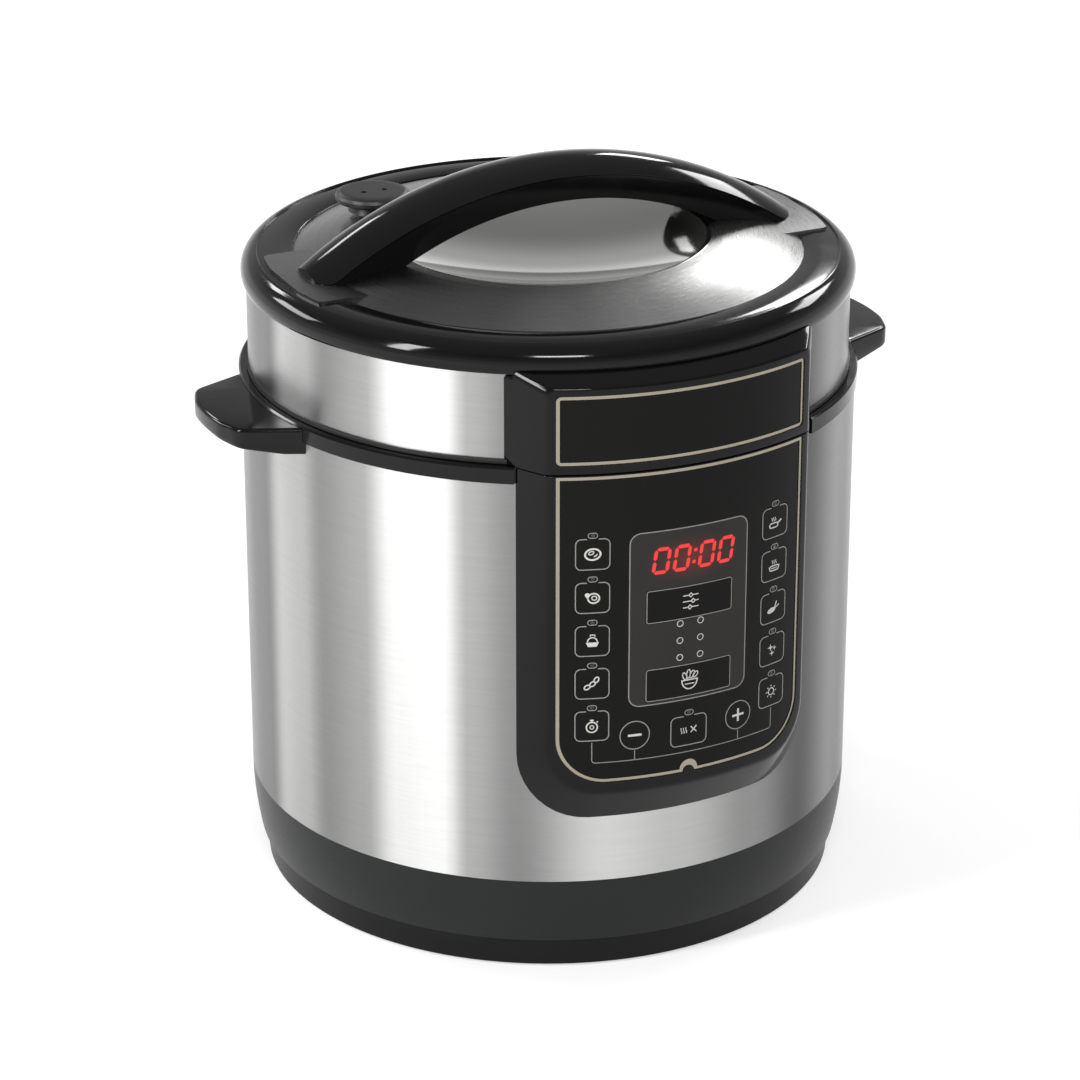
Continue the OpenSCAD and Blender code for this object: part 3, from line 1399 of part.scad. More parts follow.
// The cooking pot, with a rolled rim.
roll_r = 1.3;
module inner_pot() {
    c = pot_corner_r;
    color("#4a4c4e") rotate_extrude() {
        translate([0, pot_z]) square([pot_r - c, pot_wall]);
        translate([pot_r - c, pot_z + c]) quarter(c, pot_wall);
        translate([pot_r - pot_wall, pot_z + c]) square([pot_wall, pot_h - c]);
        translate([pot_r - pot_wall, rim_z - pot_wall]) square([pot_rim_w - roll_r + pot_wall, pot_wall]);
        translate([pot_r + pot_rim_w - roll_r, rim_z - roll_r]) circle(r = roll_r);
    }
}

base_moulding();
rubber_feet();
lower_skin();
mid_ring();
side_handle_left();
side_handle_right();
outer_pot();
heating_plate();
heater_bracket();
pressure_switch();
power_board();
inlet_socket();
panel_bezel();
panel_overlay();
panel_frame();
display_lens();
display_module();
control_board();
light_pipes();
cup_bracket();
body_screws();
sensor_spring();
sensor_button();
inner_pot();
condensate_cup();
lid_lock_shuttle();
lid_trim();
lid_band();
lid_ring();
lid_dome_plate();
lid_handle_base();
lid_handle_top();
lid_bezel();
badge_plate();
badge_frame();
pressure_lid();
lid_gasket();
gasket_plate();
gasket_plate_nut();
vent_pipe();
vent_shield();
float_grommet();
lid_studs();
valve_knob();
float_pin();
key_program_1();
key_program_2();
key_program_3();
key_program_4();
key_program_5();
key_program_6();
key_program_7();
key_program_8();
key_program_9();
key_program_10();
key_minus();
key_plus();
key_cancel();
key_adjust();
key_menu();
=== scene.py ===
from math import acos, atan2, cos, hypot, pi, radians, sin, sqrt, tan

import bmesh
import bpy
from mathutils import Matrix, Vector
from mathutils.geometry import delaunay_2d_cdt


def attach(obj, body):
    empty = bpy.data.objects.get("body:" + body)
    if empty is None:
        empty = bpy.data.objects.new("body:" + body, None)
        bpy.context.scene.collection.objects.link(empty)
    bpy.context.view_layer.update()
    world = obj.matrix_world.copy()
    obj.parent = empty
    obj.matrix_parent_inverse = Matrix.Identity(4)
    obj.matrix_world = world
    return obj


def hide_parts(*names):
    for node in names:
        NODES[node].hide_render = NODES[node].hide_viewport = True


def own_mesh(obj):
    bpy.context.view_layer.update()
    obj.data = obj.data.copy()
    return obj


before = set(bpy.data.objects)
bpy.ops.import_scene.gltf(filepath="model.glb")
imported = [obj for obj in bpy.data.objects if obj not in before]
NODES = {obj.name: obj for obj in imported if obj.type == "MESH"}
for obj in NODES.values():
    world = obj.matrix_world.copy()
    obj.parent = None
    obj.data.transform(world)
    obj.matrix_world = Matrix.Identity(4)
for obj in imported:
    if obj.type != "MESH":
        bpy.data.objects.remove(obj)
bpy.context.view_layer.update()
scene = bpy.context.scene
MM = 0.001

# Sizes that the solids have too, in millimetres. The front faces -y, x runs right, z up.
BODY_R, RING_R, SEAM_Z = 150.0, 151.2, 261.0
LID_R, LID_IN_R, BAND_Z, BAND_TOP_Z = 146.5, 145.7, 263.6, 306.0
LID_RING_Z, RING_OUT_R, CROWN_Z = 305.2, 149.0, 318.2
PLATE_R, PLATE_Z, DISH_R, DISH_RIM_Z, DISH_DEPTH = 123.5, 316.8, 79.0, 324.2, 12.0
FACE_R, OVERLAY_R, SHELF_R = 159.5, 158.7, 157.9
FRAME_HALF, FRAME_LOW, FRAME_TOP, FRAME_CORNER, NOTCH = 63.0, 105.5, 260.0, 23.0, 3.0
BADGE_LOW, BADGE_TOP, BADGE_CORNER = 265.5, 299.0, 2.4
WINDOW_MID, WINDOW_W, WINDOW_H = 186.5, 60.0, 87.0
ADJUST_Z, MENU_Z, DIGITS_Z = 192.5, 152.7, 215.0
KEY_W, KEY_H, KEY_ANG, ROUND_ANG = 16.4, 15.6, 17.2, 9.8
ROW_Z = [221.6, 199.9, 178.2, 156.5, 134.8]
ROUND_Z, ROUND_R, CANCEL_Z, CANCEL_W = 128.3, 7.4, 126.6, 19.0
LONG_W, LONG_H, KEY_GAP = 44.0, 16.4, 0.3
LAMP_LIFT, LAMP_ANG, LAMP_ROWS = 9.4, 1.9, [165.0, 173.6, 182.2]
PLINTH_Z = 15.75

# The painted red glow of the digits on the display window, and the range that most noise values
# fall in.
HALO_X, HALO_W, HALO_H = 1.5, 26.0, 12.5
GRAIN_LOW, GRAIN_HIGH = 0.3, 0.7


# ---- materials
def srgb(code):
    """Linear colour of a hex code."""
    v = [int(code[i:i + 2], 16) / 255 for i in (1, 3, 5)]
    return tuple(c / 12.92 if c <= 0.04045 else ((c + 0.055) / 1.055) ** 2.4 for c in v) + (1.0,)


def grey(value):
    return (value, value, value, 1.0)


def scaled(colour, factor, lift=0.0):
    """The colour made lighter or darker, its alpha kept."""
    return tuple(min(c * factor + lift, 1.0) for c in colour[:3]) + (1.0,)


def set_ramp(ramp, stops, kind="EASE"):
    """Gives a colour ramp its stops, which are (place, colour)."""
    ramp.interpolation = kind
    while len(ramp.elements) < len(stops):
        ramp.elements.new(0.5)
    for element, (place, colour) in zip(ramp.elements, stops):
        element.position = place
        element.color = colour


class Shade:
    """A material being built, with short calls for its nodes."""

    def __init__(self, name, code="#ffffff"):
        self.material = bpy.data.materials.new(name)
        self.material.use_nodes = True
        self.tree = self.material.node_tree
        self.bsdf = self.tree.nodes["Principled BSDF"]
        self.base = srgb(code)
        # Object coordinates, which are the row frame's metres.
        self.coords = self.node("ShaderNodeTexCoord").outputs["Object"]

    def node(self, kind, inputs=(), **settings):
        made = self.tree.nodes.new(kind)
        for key, value in settings.items():
            setattr(made, key, value)
        for key, value in dict(inputs).items():
            self.put(made.inputs[key], value)
        return made

    def put(self, socket, value):
        if isinstance(value, bpy.types.NodeSocket):
            self.tree.links.new(value, socket)
        else:
            socket.default_value = value

    def set(self, **values):
        for key, value in values.items():
            self.put(self.bsdf.inputs[key.replace("_", " ")], value)

    def math(self, kind, a, b=0.0, clamp=False):
        return self.node("ShaderNodeMath", {0: a, 1: b}, operation=kind, use_clamp=clamp).outputs[0]

    def times(self, a, b):
        return self.math("MULTIPLY", a, b)

    def place(self):
        """The x, y and z of the coordinates."""
        return self.node("ShaderNodeSeparateXYZ", {0: self.coords}).outputs

    def polar(self):
        """Angle round the upright axis from the front (radians), radius and height (metres)."""
        x, y, z = self.place()
        angle = self.math("ARCTAN2", x, self.times(y, -1.0))
        return angle, self.length(x, y), z

    def length(self, a, b):
        return self.math("SQRT", self.math("ADD", self.times(a, a), self.times(b, b)))

    def noise(self, scale, detail, vector=None, roughness=0.5):
        inputs = {"Vector": vector or self.coords, "Scale": scale, "Detail": detail,
                  "Roughness": roughness}
        return self.node("ShaderNodeTexNoise", inputs).outputs[0]

    def vector(self, x=0.0, y=0.0, z=0.0):
        return self.node("ShaderNodeCombineXYZ", {0: x, 1: y, 2: z}).outputs[0]

    def ramp(self, value, stops, kind="EASE"):
        made = self.node("ShaderNodeValToRGB", {0: value})
        set_ramp(made.color_ramp, stops, kind)
        return made.outputs[0]

    def mix(self, factor, a, b, blend="MIX"):
        made = self.node("ShaderNodeMix", data_type="RGBA", blend_type=blend)
        self.put(made.inputs[0], factor)
        self.put(made.inputs[6], a)
        self.put(made.inputs[7], b)
        return made.outputs[2]

    def clouds(self, grain, low, high=1.0, lift=0.0):
        """The base colour, scaled from low to high with the grain."""
        self.set(Base_Color=self.mix(grain, scaled(self.base, low), scaled(self.base, high, lift)))

    def span(self, value, low, high, to_low, to_high):
        inputs = {0: value, 1: low, 2: high, 3: to_low, 4: to_high}
        return self.node("ShaderNodeMapRange", inputs).outputs[0]

    def rough(self, grain, middle, spread):
        """Roughness that swings round its middle with the grain."""
        low, high = middle - spread, middle + spread
        self.set(Roughness=self.span(grain, GRAIN_LOW, GRAIN_HIGH, low, high))

    def bump(self, height, strength, distance):
        inputs = {"Height": height, "Strength": strength, "Distance": distance}
        self.set(Normal=self.node("ShaderNodeBump", inputs).outputs[0])


def gloss(name, code, roughness, streak, shine):
    """Polished plastic: faint flow marks in the gloss and a slightly uneven tone."""
    s = Shade(name, code)
    s.clouds(s.noise(22.0, 3.0), 1.0, 1.7, 0.001)
    s.set(Specular_IOR_Level=shine)
    s.rough(s.noise(60.0, 4.0), roughness, streak)
    s.bump(s.noise(30.0, 1.0), 0.04, 0.0006)
    return s.material


def moulded(name, code, roughness=0.5, grain=2600.0, depth=0.25, tone=1.25):
    """Moulded plastic, rubber or silicone: a fine grain and soft tone changes."""
    s = Shade(name, code)
    s.clouds(s.noise(30.0, 3.0), 1.0, tone, 0.002)
    fine = s.noise(grain, 2.0)
    s.rough(fine, roughness, 0.06)
    s.bump(fine, depth, 0.0002)
    return s.material


def metal(name, code, roughness=0.3, grain=900.0, depth=0.15):
    """Plain sheet or cast metal with a mottled surface."""
    s = Shade(name, code)
    s.clouds(s.noise(40.0, 4.0), 0.78)
    s.set(Metallic=1.0)
    fine = s.noise(grain, 3.0)
    s.rough(fine, roughness, 0.06)
    s.bump(fine, depth, 0.0002)
    return s.material


def brushed_with_painted_reflections(name, painted_reflections, roughness, upright=True):
    """Steel with a circular brush grain along the circumference, and soft upright strips of painted
    reflection in its base colour.
    """
    s = Shade(name)
    angle, radius, z = s.polar()
    share = s.math("FRACT", s.math("ADD", s.math("DIVIDE", angle, 2 * pi), 0.5))
    # The tone round the body is painted reflection: light and dark strips baked into the steel's
    # base colour.
    tone = s.ramp(share, [(place / 360 + 0.5, grey(value)) for place, value in painted_reflections])
    across = z if upright else radius
    run = s.times(angle, 0.15)

    def grain(along, over, seed, scale, detail, roughness):
        """Noise drawn out round the body."""
        flat = s.vector(s.times(run, along), s.times(across, over), seed)
        return s.noise(scale, detail, flat, roughness)

    lines = grain(6.0, 260.0, 0.0, 9.0, 6.0, 0.7)
    streaks = grain(1.2, 40.0, 4.0, 12.0, 4.0, 0.6)
    both = s.math("ADD", s.times(lines, 0.6), s.times(streaks, 0.4))
    fleck = s.ramp(both, [(0.3, grey(0.86)), (0.72, (1.0, 0.995, 0.985, 1.0))], "LINEAR")
    s.set(Base_Color=s.mix(1.0, tone, fleck, "MULTIPLY"), Metallic=1.0)
    s.set(Roughness=s.span(lines, 0.25, 0.75, roughness - 0.05, roughness + 0.07))
    s.set(Anisotropic=0.6, Anisotropic_Rotation=0.25)
    s.set(Tangent=s.node("ShaderNodeTangent", direction_type="RADIAL", axis="Z").outputs[0])
    s.bump(lines, 0.12, 0.0001)
    return s.material


# Painted reflection strips in the steel's base colour: degrees round the body from the front, and
# tone.
SKIN_PAINTED_REFLECTIONS = [
    (-180, 0.4), (-150, 0.6), (-125, 0.25), (-108, 0.09), (-97, 0.1), (-89, 0.16), (-83, 0.5),
    (-76, 0.44), (-70, 0.26), (-60, 0.36), (-53, 0.8), (-44, 0.9), (-39, 0.42), (-30, 0.26),
    (-14, 0.62), (0, 0.5), (16, 0.28), (30, 0.1), (42, 0.22), (50, 0.09), (63, 0.12), (82, 0.5),
    (110, 0.28), (140, 0.6), (180, 0.4)]
DOME_PAINTED_REFLECTIONS = [
    (-180, 0.36), (-140, 0.3), (-105, 0.2), (-80, 0.14), (-60, 0.13), (-40, 0.16), (-20, 0.27),
    (0, 0.46), (18, 0.6), (35, 0.62), (52, 0.5), (70, 0.38), (90, 0.24), (120, 0.42), (150, 0.3),
    (180, 0.36)]
BAND_STEEL = brushed_with_painted_reflections("steel_band", SKIN_PAINTED_REFLECTIONS, 0.3)
SKIN_STEEL = brushed_with_painted_reflections("steel_skin", SKIN_PAINTED_REFLECTIONS, 0.3)
DOME_STEEL = brushed_with_painted_reflections("steel_dome", DOME_PAINTED_REFLECTIONS, 0.28, upright=False)


def polished(name, code, roughness):
    """Mirror steel with faint turning rings."""
    s = Shade(name, code)
    radius = s.polar()[1]
    rings = s.noise(3.0, 3.0, s.vector(s.times(radius, 600.0)))
    s.clouds(rings, 0.93)
    s.set(Metallic=1.0)
    s.rough(rings, roughness, roughness * 0.3)
    return s.material


def board(name):
    """Green circuit board with copper tracks under the lacquer."""
    s = Shade(name)
    inputs = {"Vector": s.coords, "Scale": 260.0}
    cells = s.node("ShaderNodeTexVoronoi", inputs, distance="CHEBYCHEV")
    track = s.math("LESS_THAN", cells.outputs["Distance"], 0.16)
    s.set(Base_Color=s.mix(track, srgb("#14502f"), srgb("#2f7d4a")))
    s.set(Roughness=s.span(track, 0.0, 1.0, 0.32, 0.45))
    s.bump(track, 0.2, 0.0001)
    return s.material


def glowing(name, code, strength):
    """A lit segment with a slightly uneven diffuser."""
    s = Shade(name, code)
    s.set(Base_Color=grey(0.02), Roughness=0.4, Emission_Strength=strength)
    s.set(Emission_Color=s.mix(s.noise(500.0, 1.0), scaled(s.base, 0.9), s.base))
    return s.material


def printed(name, code):
    """Screen-printed ink: slightly speckled."""
    s = Shade(name, code)
    s.clouds(s.noise(900.0, 2.0), 0.82)
    s.rough(s.noise(1500.0, 1.0), 0.475, 0.075)
    return s.material


def base_plastic(name):
    """The base moulding: satin charcoal band over a black plinth, with a fine grain."""
    s = Shade(name)
    z = s.place()[2]
    above = s.math("GREATER_THAN", z, PLINTH_Z * MM)
    band = s.mix(s.noise(25.0, 3.0), srgb("#1f2020"), srgb("#262727"))
    s.set(Base_Color=s.mix(above, srgb("#0b0b0b"), band), Specular_IOR_Level=0.2)
    fine = s.noise(2200.0, 2.0)
    s.rough(fine, 0.36, 0.06)
    s.bump(fine, 0.12, 0.0002)
    return s.material


def lens_film(name):
    """Smoked display window: warm grey film, with a painted red glow round the lit digits."""
    s = Shade(name)
    x, _, z = s.place()
    dx = s.math("DIVIDE", s.math("SUBTRACT", x, HALO_X * MM), HALO_W * MM)
    dz = s.math("DIVIDE", s.math("SUBTRACT", z, DIGITS_Z * MM), HALO_H * MM)
    # A painted red glow of the digits, emitted by the film round them.
    painted_glow = s.math("POWER", s.math("SUBTRACT", 1.0, s.length(dx, dz), clamp=True), 1.4)
    s.set(Base_Color=s.mix(s.noise(35.0, 2.0), srgb("#2c2b29"), srgb("#35332f")))
    s.set(Emission_Color=s.mix(painted_glow, grey(0.0), (0.10, 0.006, 0.005, 1.0)))
    s.set(Emission_Strength=1.0, Specular_IOR_Level=0.15)
    s.rough(s.noise(80.0, 3.0), 0.22, 0.04)
    return s.material


def clear(name, code, roughness):
    """Clear moulded plastic with faint flow lines."""
    s = Shade(name, code)
    s.set(Base_Color=s.mix(s.noise(30.0, 2.0), s.base, grey(1.0)))
    s.set(Transmission_Weight=1.0, IOR=1.46)
    s.rough(s.noise(50.0, 2.0), roughness + 0.025, 0.025)
    s.bump(s.noise(60.0, 1.0), 0.05, 0.0003)
    return s.material


def pot_coating(name):
    """Speckled non-stick coating."""
    s = Shade(name)
    cells = s.node("ShaderNodeTexVoronoi", {"Vector": s.coords, "Scale": 700.0})
    fleck = s.math("LESS_THAN", cells.outputs["Distance"], 0.17)
    s.set(Base_Color=s.mix(fleck, srgb("#2c2d2e"), srgb("#6b6c6c")), Metallic=0.15)
    s.rough(s.noise(300.0, 3.0), 0.4, 0.06)
    s.bump(s.noise(600.0, 2.0), 0.15, 0.0002)
    return s.material


GLOSS = gloss("gloss_black", "#060606", 0.09, 0.02, 0.24)
GLOSS_PANEL = gloss("gloss_panel", "#050505", 0.08, 0.02, 0.2)
SATIN = moulded("satin_black", "#111112", 0.42, 2200.0, 0.15)
FILM = gloss("overlay_film", "#0a0908", 0.14, 0.03, 0.12)
KEY_FILM = gloss("key_film", "#080807", 0.14, 0.03, 0.12)
TRIM = metal("silver_trim", "#a39c8c", 0.26, 1500.0, 0.08)
LENS = lens_film("tinted_lens")
INK = printed("panel_ink", "#9c9a94")
INK_BRIGHT = printed("panel_ink_bright", "#e2e0da")
DIGIT = glowing("digit_red", "#ff1a12", 1.0)
BASE = base_plastic("base_plastic")
RUBBER = moulded("foot_rubber", "#101010", 0.8, 1500.0, 0.4)
ALLOY = metal("cast_alloy", "#a3a5a7", 0.42, 420.0, 0.35)
SHEET = metal("plain_sheet", "#b9b8b5", 0.3)
PRESSED = metal("pressed_alloy", "#b4b5b6", 0.34, 700.0, 0.12)
CREAM = moulded("cream_plastic", "#e6e0cf", 0.45)
SILICONE = moulded("silicone", "#e9e6de", 0.55, 900.0, 0.12, 1.05)
RED_SILICONE = moulded("red_silicone", "#b8452f", 0.55, 900.0, 0.12, 1.15)
RED_PLASTIC = moulded("red_plastic", "#a83a29", 0.4)
DARK_NUT = moulded("dark_nut", "#2b2b2c", 0.45)
BOARD = board("circuit_board")
PIPE = clear("light_pipe", "#e8e8e2", 0.1)
CUP = clear("cup_plastic", "#dfe4e6", 0.06)
MIRROR = polished("polished_dish", "#c6c6c4", 0.06)
COATING = pot_coating("pot_coating")


# What each node wears; the key pads wear KEY_FILM.
DRESS = [
    (BASE, "base_moulding"), (RUBBER, "rubber_feet"),
    (PRESSED, "outer_pot sensor_button pressure_lid"),
    (GLOSS, "mid_ring lid_ring lid_handle_base lid_handle_top side_handle_left side_handle_right"),
    (GLOSS_PANEL, "lid_bezel panel_bezel"), (ALLOY, "heating_plate"), (CREAM, "pressure_switch"),
    (SHEET, "heater_bracket body_screws sensor_spring gasket_plate vent_pipe vent_shield "
            "lid_studs"),
    (BOARD, "power_board control_board"), (PIPE, "light_pipes"), (COATING, "inner_pot"),
    (SATIN, "inlet_socket display_module cup_bracket lid_trim valve_knob"), (CUP, "condensate_cup"),
    (RED_PLASTIC, "lid_lock_shuttle"), (BAND_STEEL, "lid_band"), (SKIN_STEEL, "lower_skin"),
    (SILICONE, "lid_gasket"), (DARK_NUT, "gasket_plate_nut"), (RED_SILICONE, "float_grommet"),
    (TRIM, "float_pin panel_frame badge_frame"), (DOME_STEEL, "lid_dome_plate"),
    (FILM, "panel_overlay badge_plate"), (LENS, "display_lens"),
]
worn = {name: material for material, names in DRESS for name in names.split()}
for name, node in NODES.items():
    node.data.materials.clear()
    node.data.materials.append(worn.get(name, KEY_FILM))


# ---- mesh helpers
INK_LOW, INK_HIGH = OVERLAY_R - 0.05, OVERLAY_R + 0.07  # a mark's back and face
LINE, FINE = 0.5, 0.38  # line widths
SHELF_BACK, SHELF_FRONT, SHELF_STEP = SHELF_R - 3, SHELF_R - 0.02, 4.0


def piece(name, verts, faces, body, slot, material, replaces=(), sharp=32.0):
    """A closed mesh piece, given in millimetres, with outward normals and smooth shading."""
    mesh = bpy.data.meshes.new(name)
    bm = bmesh.new()
    made = [bm.verts.new(Vector(v) * MM) for v in verts]
    for face in faces:
        if len(set(face)) > 2:
            try:
                bm.faces.new([made[k] for k in face])
            except ValueError:
                pass
    bmesh.ops.remove_doubles(bm, verts=bm.verts, dist=2e-6)
    bmesh.ops.dissolve_degenerate(bm, edges=bm.edges, dist=1e-6)
    bmesh.ops.recalc_face_normals(bm, faces=bm.faces)
    bm.to_mesh(mesh)
    bm.free()
    for polygon in mesh.polygons:
        polygon.use_smooth = True
    mesh.set_sharp_from_angle(angle=radians(sharp))
    mesh.materials.append(material)
    made = bpy.data.objects.new(name, mesh)
    scene.collection.objects.link(made)
    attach(made, body)
    if replaces:
        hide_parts(*replaces)
    return made


def on_circle(x, z, r, degrees):
    return (x + r * cos(radians(degrees)), z + r * sin(radians(degrees)))


def steps_between(a, b, count):
    """Points from a up to but not including b."""
    (x0, z0), (x1, z1) = a, b
    return [(x0 + (x1 - x0) * k / count, z0 + (z1 - z0) * k / count) for k in range(count)]


def fillet(corners, steps):
    """A closed profile with each corner (r, z, radius) rounded."""
    out = []
    for i, (x, y, radius) in enumerate(corners):
        here = Vector((x, y))
        if not radius:
            out.append((x, y))
            continue
        u = (Vector(corners[i - 1][:2]) - here).normalized()
        v = (Vector(corners[(i + 1) % len(corners)][:2]) - here).normalized()
        half = acos(max(-1.0, min(1.0, u.dot(v)))) / 2
        centre = here + (u + v).normalized() * (radius / sin(half))
        a = here + u * (radius / tan(half)) - centre
        b = here + v * (radius / tan(half)) - centre
        sweep = atan2(a.x * b.y - a.y * b.x, a.dot(b))
        for k in range(steps + 1):
            c, s = cos(sweep * k / steps), sin(sweep * k / steps)
            out.append((centre.x + a.x * c - a.y * s, centre.y + a.x * s + a.y * c))
    return out


def wall(loops, joined=True, ring=False):
    """Faces between loops of 3-D points that follow each other."""
    n = len(loops[0])
    faces = []
    for k in range(len(loops) if ring else len(loops) - 1):
        m = (k + 1) % len(loops)
        for i in range(n if joined else n - 1):
            j = (i + 1) % n
            faces.append((k * n + i, k * n + j, m * n + j, m * n + i))
    return [p for loop in loops for p in loop], faces


def lathe(profile, segments=192, joined=True):
    """A profile turned round the upright axis: a closed one, or one from axis to axis."""
    turns = [2 * pi * k / segments for k in range(segments)]
    return wall([[(r * cos(a), r * sin(a), z) for r, z in profile] for a in turns], joined, True)


def merge(*parts):
    """Several (verts, faces) in one."""
    verts, faces = [], []
    for v, f in parts:
        faces += [tuple(i + len(verts) for i in face) for face in f]
        verts += list(v)
    return verts, faces


def at_front(x, z, r, turn=0.0):
    """A point of the panel: x across and z up, pushed back onto radius r, then turned (degrees)."""
    y = -sqrt(r * r - x * x)
    c, s = cos(radians(turn)), sin(radians(turn))
    return (x * c - y * s, x * s + y * c, z)


def strip(points, width, turn, closed=False):
    """A thin raised line along points (x, z) on the panel."""
    n = len(points)
    verts = []
    for i, p in enumerate(points):
        here = Vector(p)
        before = (here - Vector(points[i - 1])).normalized() if closed or i else None
        after = (Vector(points[(i + 1) % n]) - here).normalized() if closed or i < n - 1 else None
        before, after = before or after, after or before
        along = (before + after).normalized()
        if along.length == 0:
            along = before
        across = Vector((-along.y, along.x))
        bend = max(across.dot(Vector((-before.y, before.x))), 0.5)
        for p in (here + across * width / 2 / bend, here - across * width / 2 / bend):
            verts += [at_front(p.x, p.y, r, turn) for r in (INK_LOW, INK_HIGH)]
    faces = []
    for i in range(n if closed else n - 1):
        a, b = 4 * i, 4 * ((i + 1) % n)
        faces += [(a + 1, a + 3, b + 3, b + 1), (a, b, b + 2, a + 2),
                  (a, a + 1, b + 1, b), (a + 2, b + 2, b + 3, a + 3)]
    if not closed:
        e = 4 * (n - 1)
        faces += [(0, 2, 3, 1), (e, e + 1, e + 3, e + 2)]
    return verts, faces


def patch(outline, turn):
    """A small flat raised shape on the panel."""
    n = len(outline)
    verts = [at_front(x, z, r, turn) for r in (INK_LOW, INK_HIGH) for x, z in outline]
    faces = [tuple(range(n, 2 * n)), tuple(reversed(range(n)))]
    faces += [(i, (i + 1) % n, n + (i + 1) % n, n + i) for i in range(n)]
    return verts, faces


def arc(x, z, r, start, turn, steps):
    return [on_circle(x, z, r, start + turn * k / steps) for k in range(steps + 1)]


def round_box(x, z, w, h, r, steps=5):
    out = []
    for sx, sz, start in ((1, -1, -90), (1, 1, 0), (-1, 1, 90), (-1, -1, 180)):
        out += arc(x + sx * (w / 2 - r), z + sz * (h / 2 - r), r, start, 90, steps)
    return out


def ellipse(x, z, rx, rz, tilt=0.0, steps=20):
    c, s = cos(radians(tilt)), sin(radians(tilt))
    out = []
    for k in range(steps):
        u, v = rx * cos(2 * pi * k / steps), rz * sin(2 * pi * k / steps)
        out.append((x + u * c - v * s, z + u * s + v * c))
    return out


def spread(points, step=3.0):
    """The line through the points, cut into steps so that it follows the casing."""
    out = []
    for p, q in zip(points, points[1:]):
        out += steps_between(p, q, max(1, int(hypot(q[0] - p[0], q[1] - p[1]) / step)))
    return out + points[-1:]


def divided(outline, step=3.0):
    """The same for a closed outline."""
    return spread(outline + outline[:1], step)[:-1]


def inside(point, outline):
    x, y = point
    hit = False
    for i in range(len(outline)):
        (x0, y0), (x1, y1) = outline[i - 1], outline[i]
        if (y0 > y) != (y1 > y) and x < (x1 - x0) * (y - y0) / (y1 - y0) + x0:
            hit = not hit
    return hit


def in_hole(point, rings):
    return any(inside(point, ring) for ring in rings[1:])


def meshed(rings, extra=(), within=False):
    """Delaunay points, and the triangles inside the first ring and outside the others. With
    within, the triangulation itself stays inside the first ring."""
    points = [Vector(p) for ring in rings for p in ring] + [Vector(p) for p in extra]
    edges, start = [], 0
    for ring in rings:
        edges += [(start + i, start + (i + 1) % len(ring)) for i in range(len(ring))]
        start += len(ring)
    flat, _, tris, _, _, _ = delaunay_2d_cdt(points, edges, [], 1 if within else 0, 1e-5)
    kept = []
    for tri in tris:
        middle = sum((flat[i] for i in tri), Vector((0, 0))) / 3
        if (within or inside(middle, rings[0])) and not in_hole(middle, rings):
            kept.append(tuple(tri))
    return flat, kept


def sheet(outline, holes):
    """A closed shelf that follows the casing, with holes through it."""
    rings = [divided(outline)] + [divided(hole, 1.5) for hole in holes]
    left, right = min(p[0] for p in outline), max(p[0] for p in outline)
    foot, top = min(p[1] for p in outline), max(p[1] for p in outline)
    across, up = int((right - left) / SHELF_STEP), int((top - foot) / SHELF_STEP)
    grid = [(left + (right - left) * i / across, foot + (top - foot) * k / up)
            for i in range(1, across) for k in range(1, up)]
    grid = [p for p in grid if inside(p, rings[0]) and not in_hole(p, rings)]
    flat, kept = meshed(rings, grid)
    n = len(flat)
    verts = [at_front(p.x, p.y, r) for r in (SHELF_FRONT, SHELF_BACK) for p in flat]
    faces = list(kept) + [tuple(n + i for i in reversed(tri)) for tri in kept]
    used = {}
    for tri in kept:
        for a, b in zip(tri, tri[1:] + tri[:1]):
            used.setdefault(frozenset((a, b)), []).append((a, b))
    faces += [(b, a, n + a, n + b) for sides in used.values() if len(sides) == 1 for a, b in sides]
    return verts, faces


# ---- bezels
FIT = 0.05  # clearance to the solids that a piece touches
CORNER_STEPS, SIDE_STEPS, SPAN_STEPS = 10, 12, 36
LIP, LIP_EASE = 0.25, 1.003  # the eased edge of a cut-out


def lean(pair, r):
    """A size that changes evenly from the skin to the bezel's face."""
    return pair[0] + (pair[1] - pair[0]) * (r - BODY_R) / (FACE_R - BODY_R)


def bezel_loop(r, half, low, high, r_low, r_high):
    """Outline as planar x and z at radius r; the half width is measured along the curve."""
    ends = [(half - r_low, low + r_low, r_low, -90), (half - r_high, high - r_high, r_high, 0),
            (r_high - half, high - r_high, r_high, 90), (r_low - half, low + r_low, r_low, 180)]
    flat = []
    for k, (x, z, radius, start) in enumerate(ends):
        turned = arc(x, z, radius, start, 90, CORNER_STEPS)
        count = SIDE_STEPS if k % 2 == 0 else SPAN_STEPS
        flat += turned[:-1] + steps_between(turned[-1], on_circle(*ends[(k + 1) % 4]), count)
    return [(r * sin(u / r), z) for u, z in flat]


def between(outer, inner, r):
    """A face on the casing between an outer and an inner loop."""
    flat, kept = meshed([outer, inner])
    return [at_front(p.x, p.y, r) for p in flat], kept


def bezel(name, body, levels, hole, replaces):
    """A frame round a cut-out: sloping sides, a rounded edge, a curved face."""
    loops = [(r, bezel_loop(r, *sizes)) for r, *sizes in levels]
    back, front = loops[0], loops[-1]
    lip_r = front[0] - LIP
    inner = divided(hole)
    eased = [(x * LIP_EASE, z) for x, z in inner]

    def walls(*pairs):
        return wall([[at_front(x, z, r) for x, z in loop] for r, loop in pairs])

    verts, faces = merge(walls(*loops), walls((back[0], inner), (lip_r, inner)),
                         walls((lip_r, inner), (front[0], eased)),
                         between(back[1], inner, back[0]), between(front[1], eased, front[0]))
    piece(name, verts, faces, body, "gloss_black", GLOSS_PANEL, (replaces,), sharp=28.0)


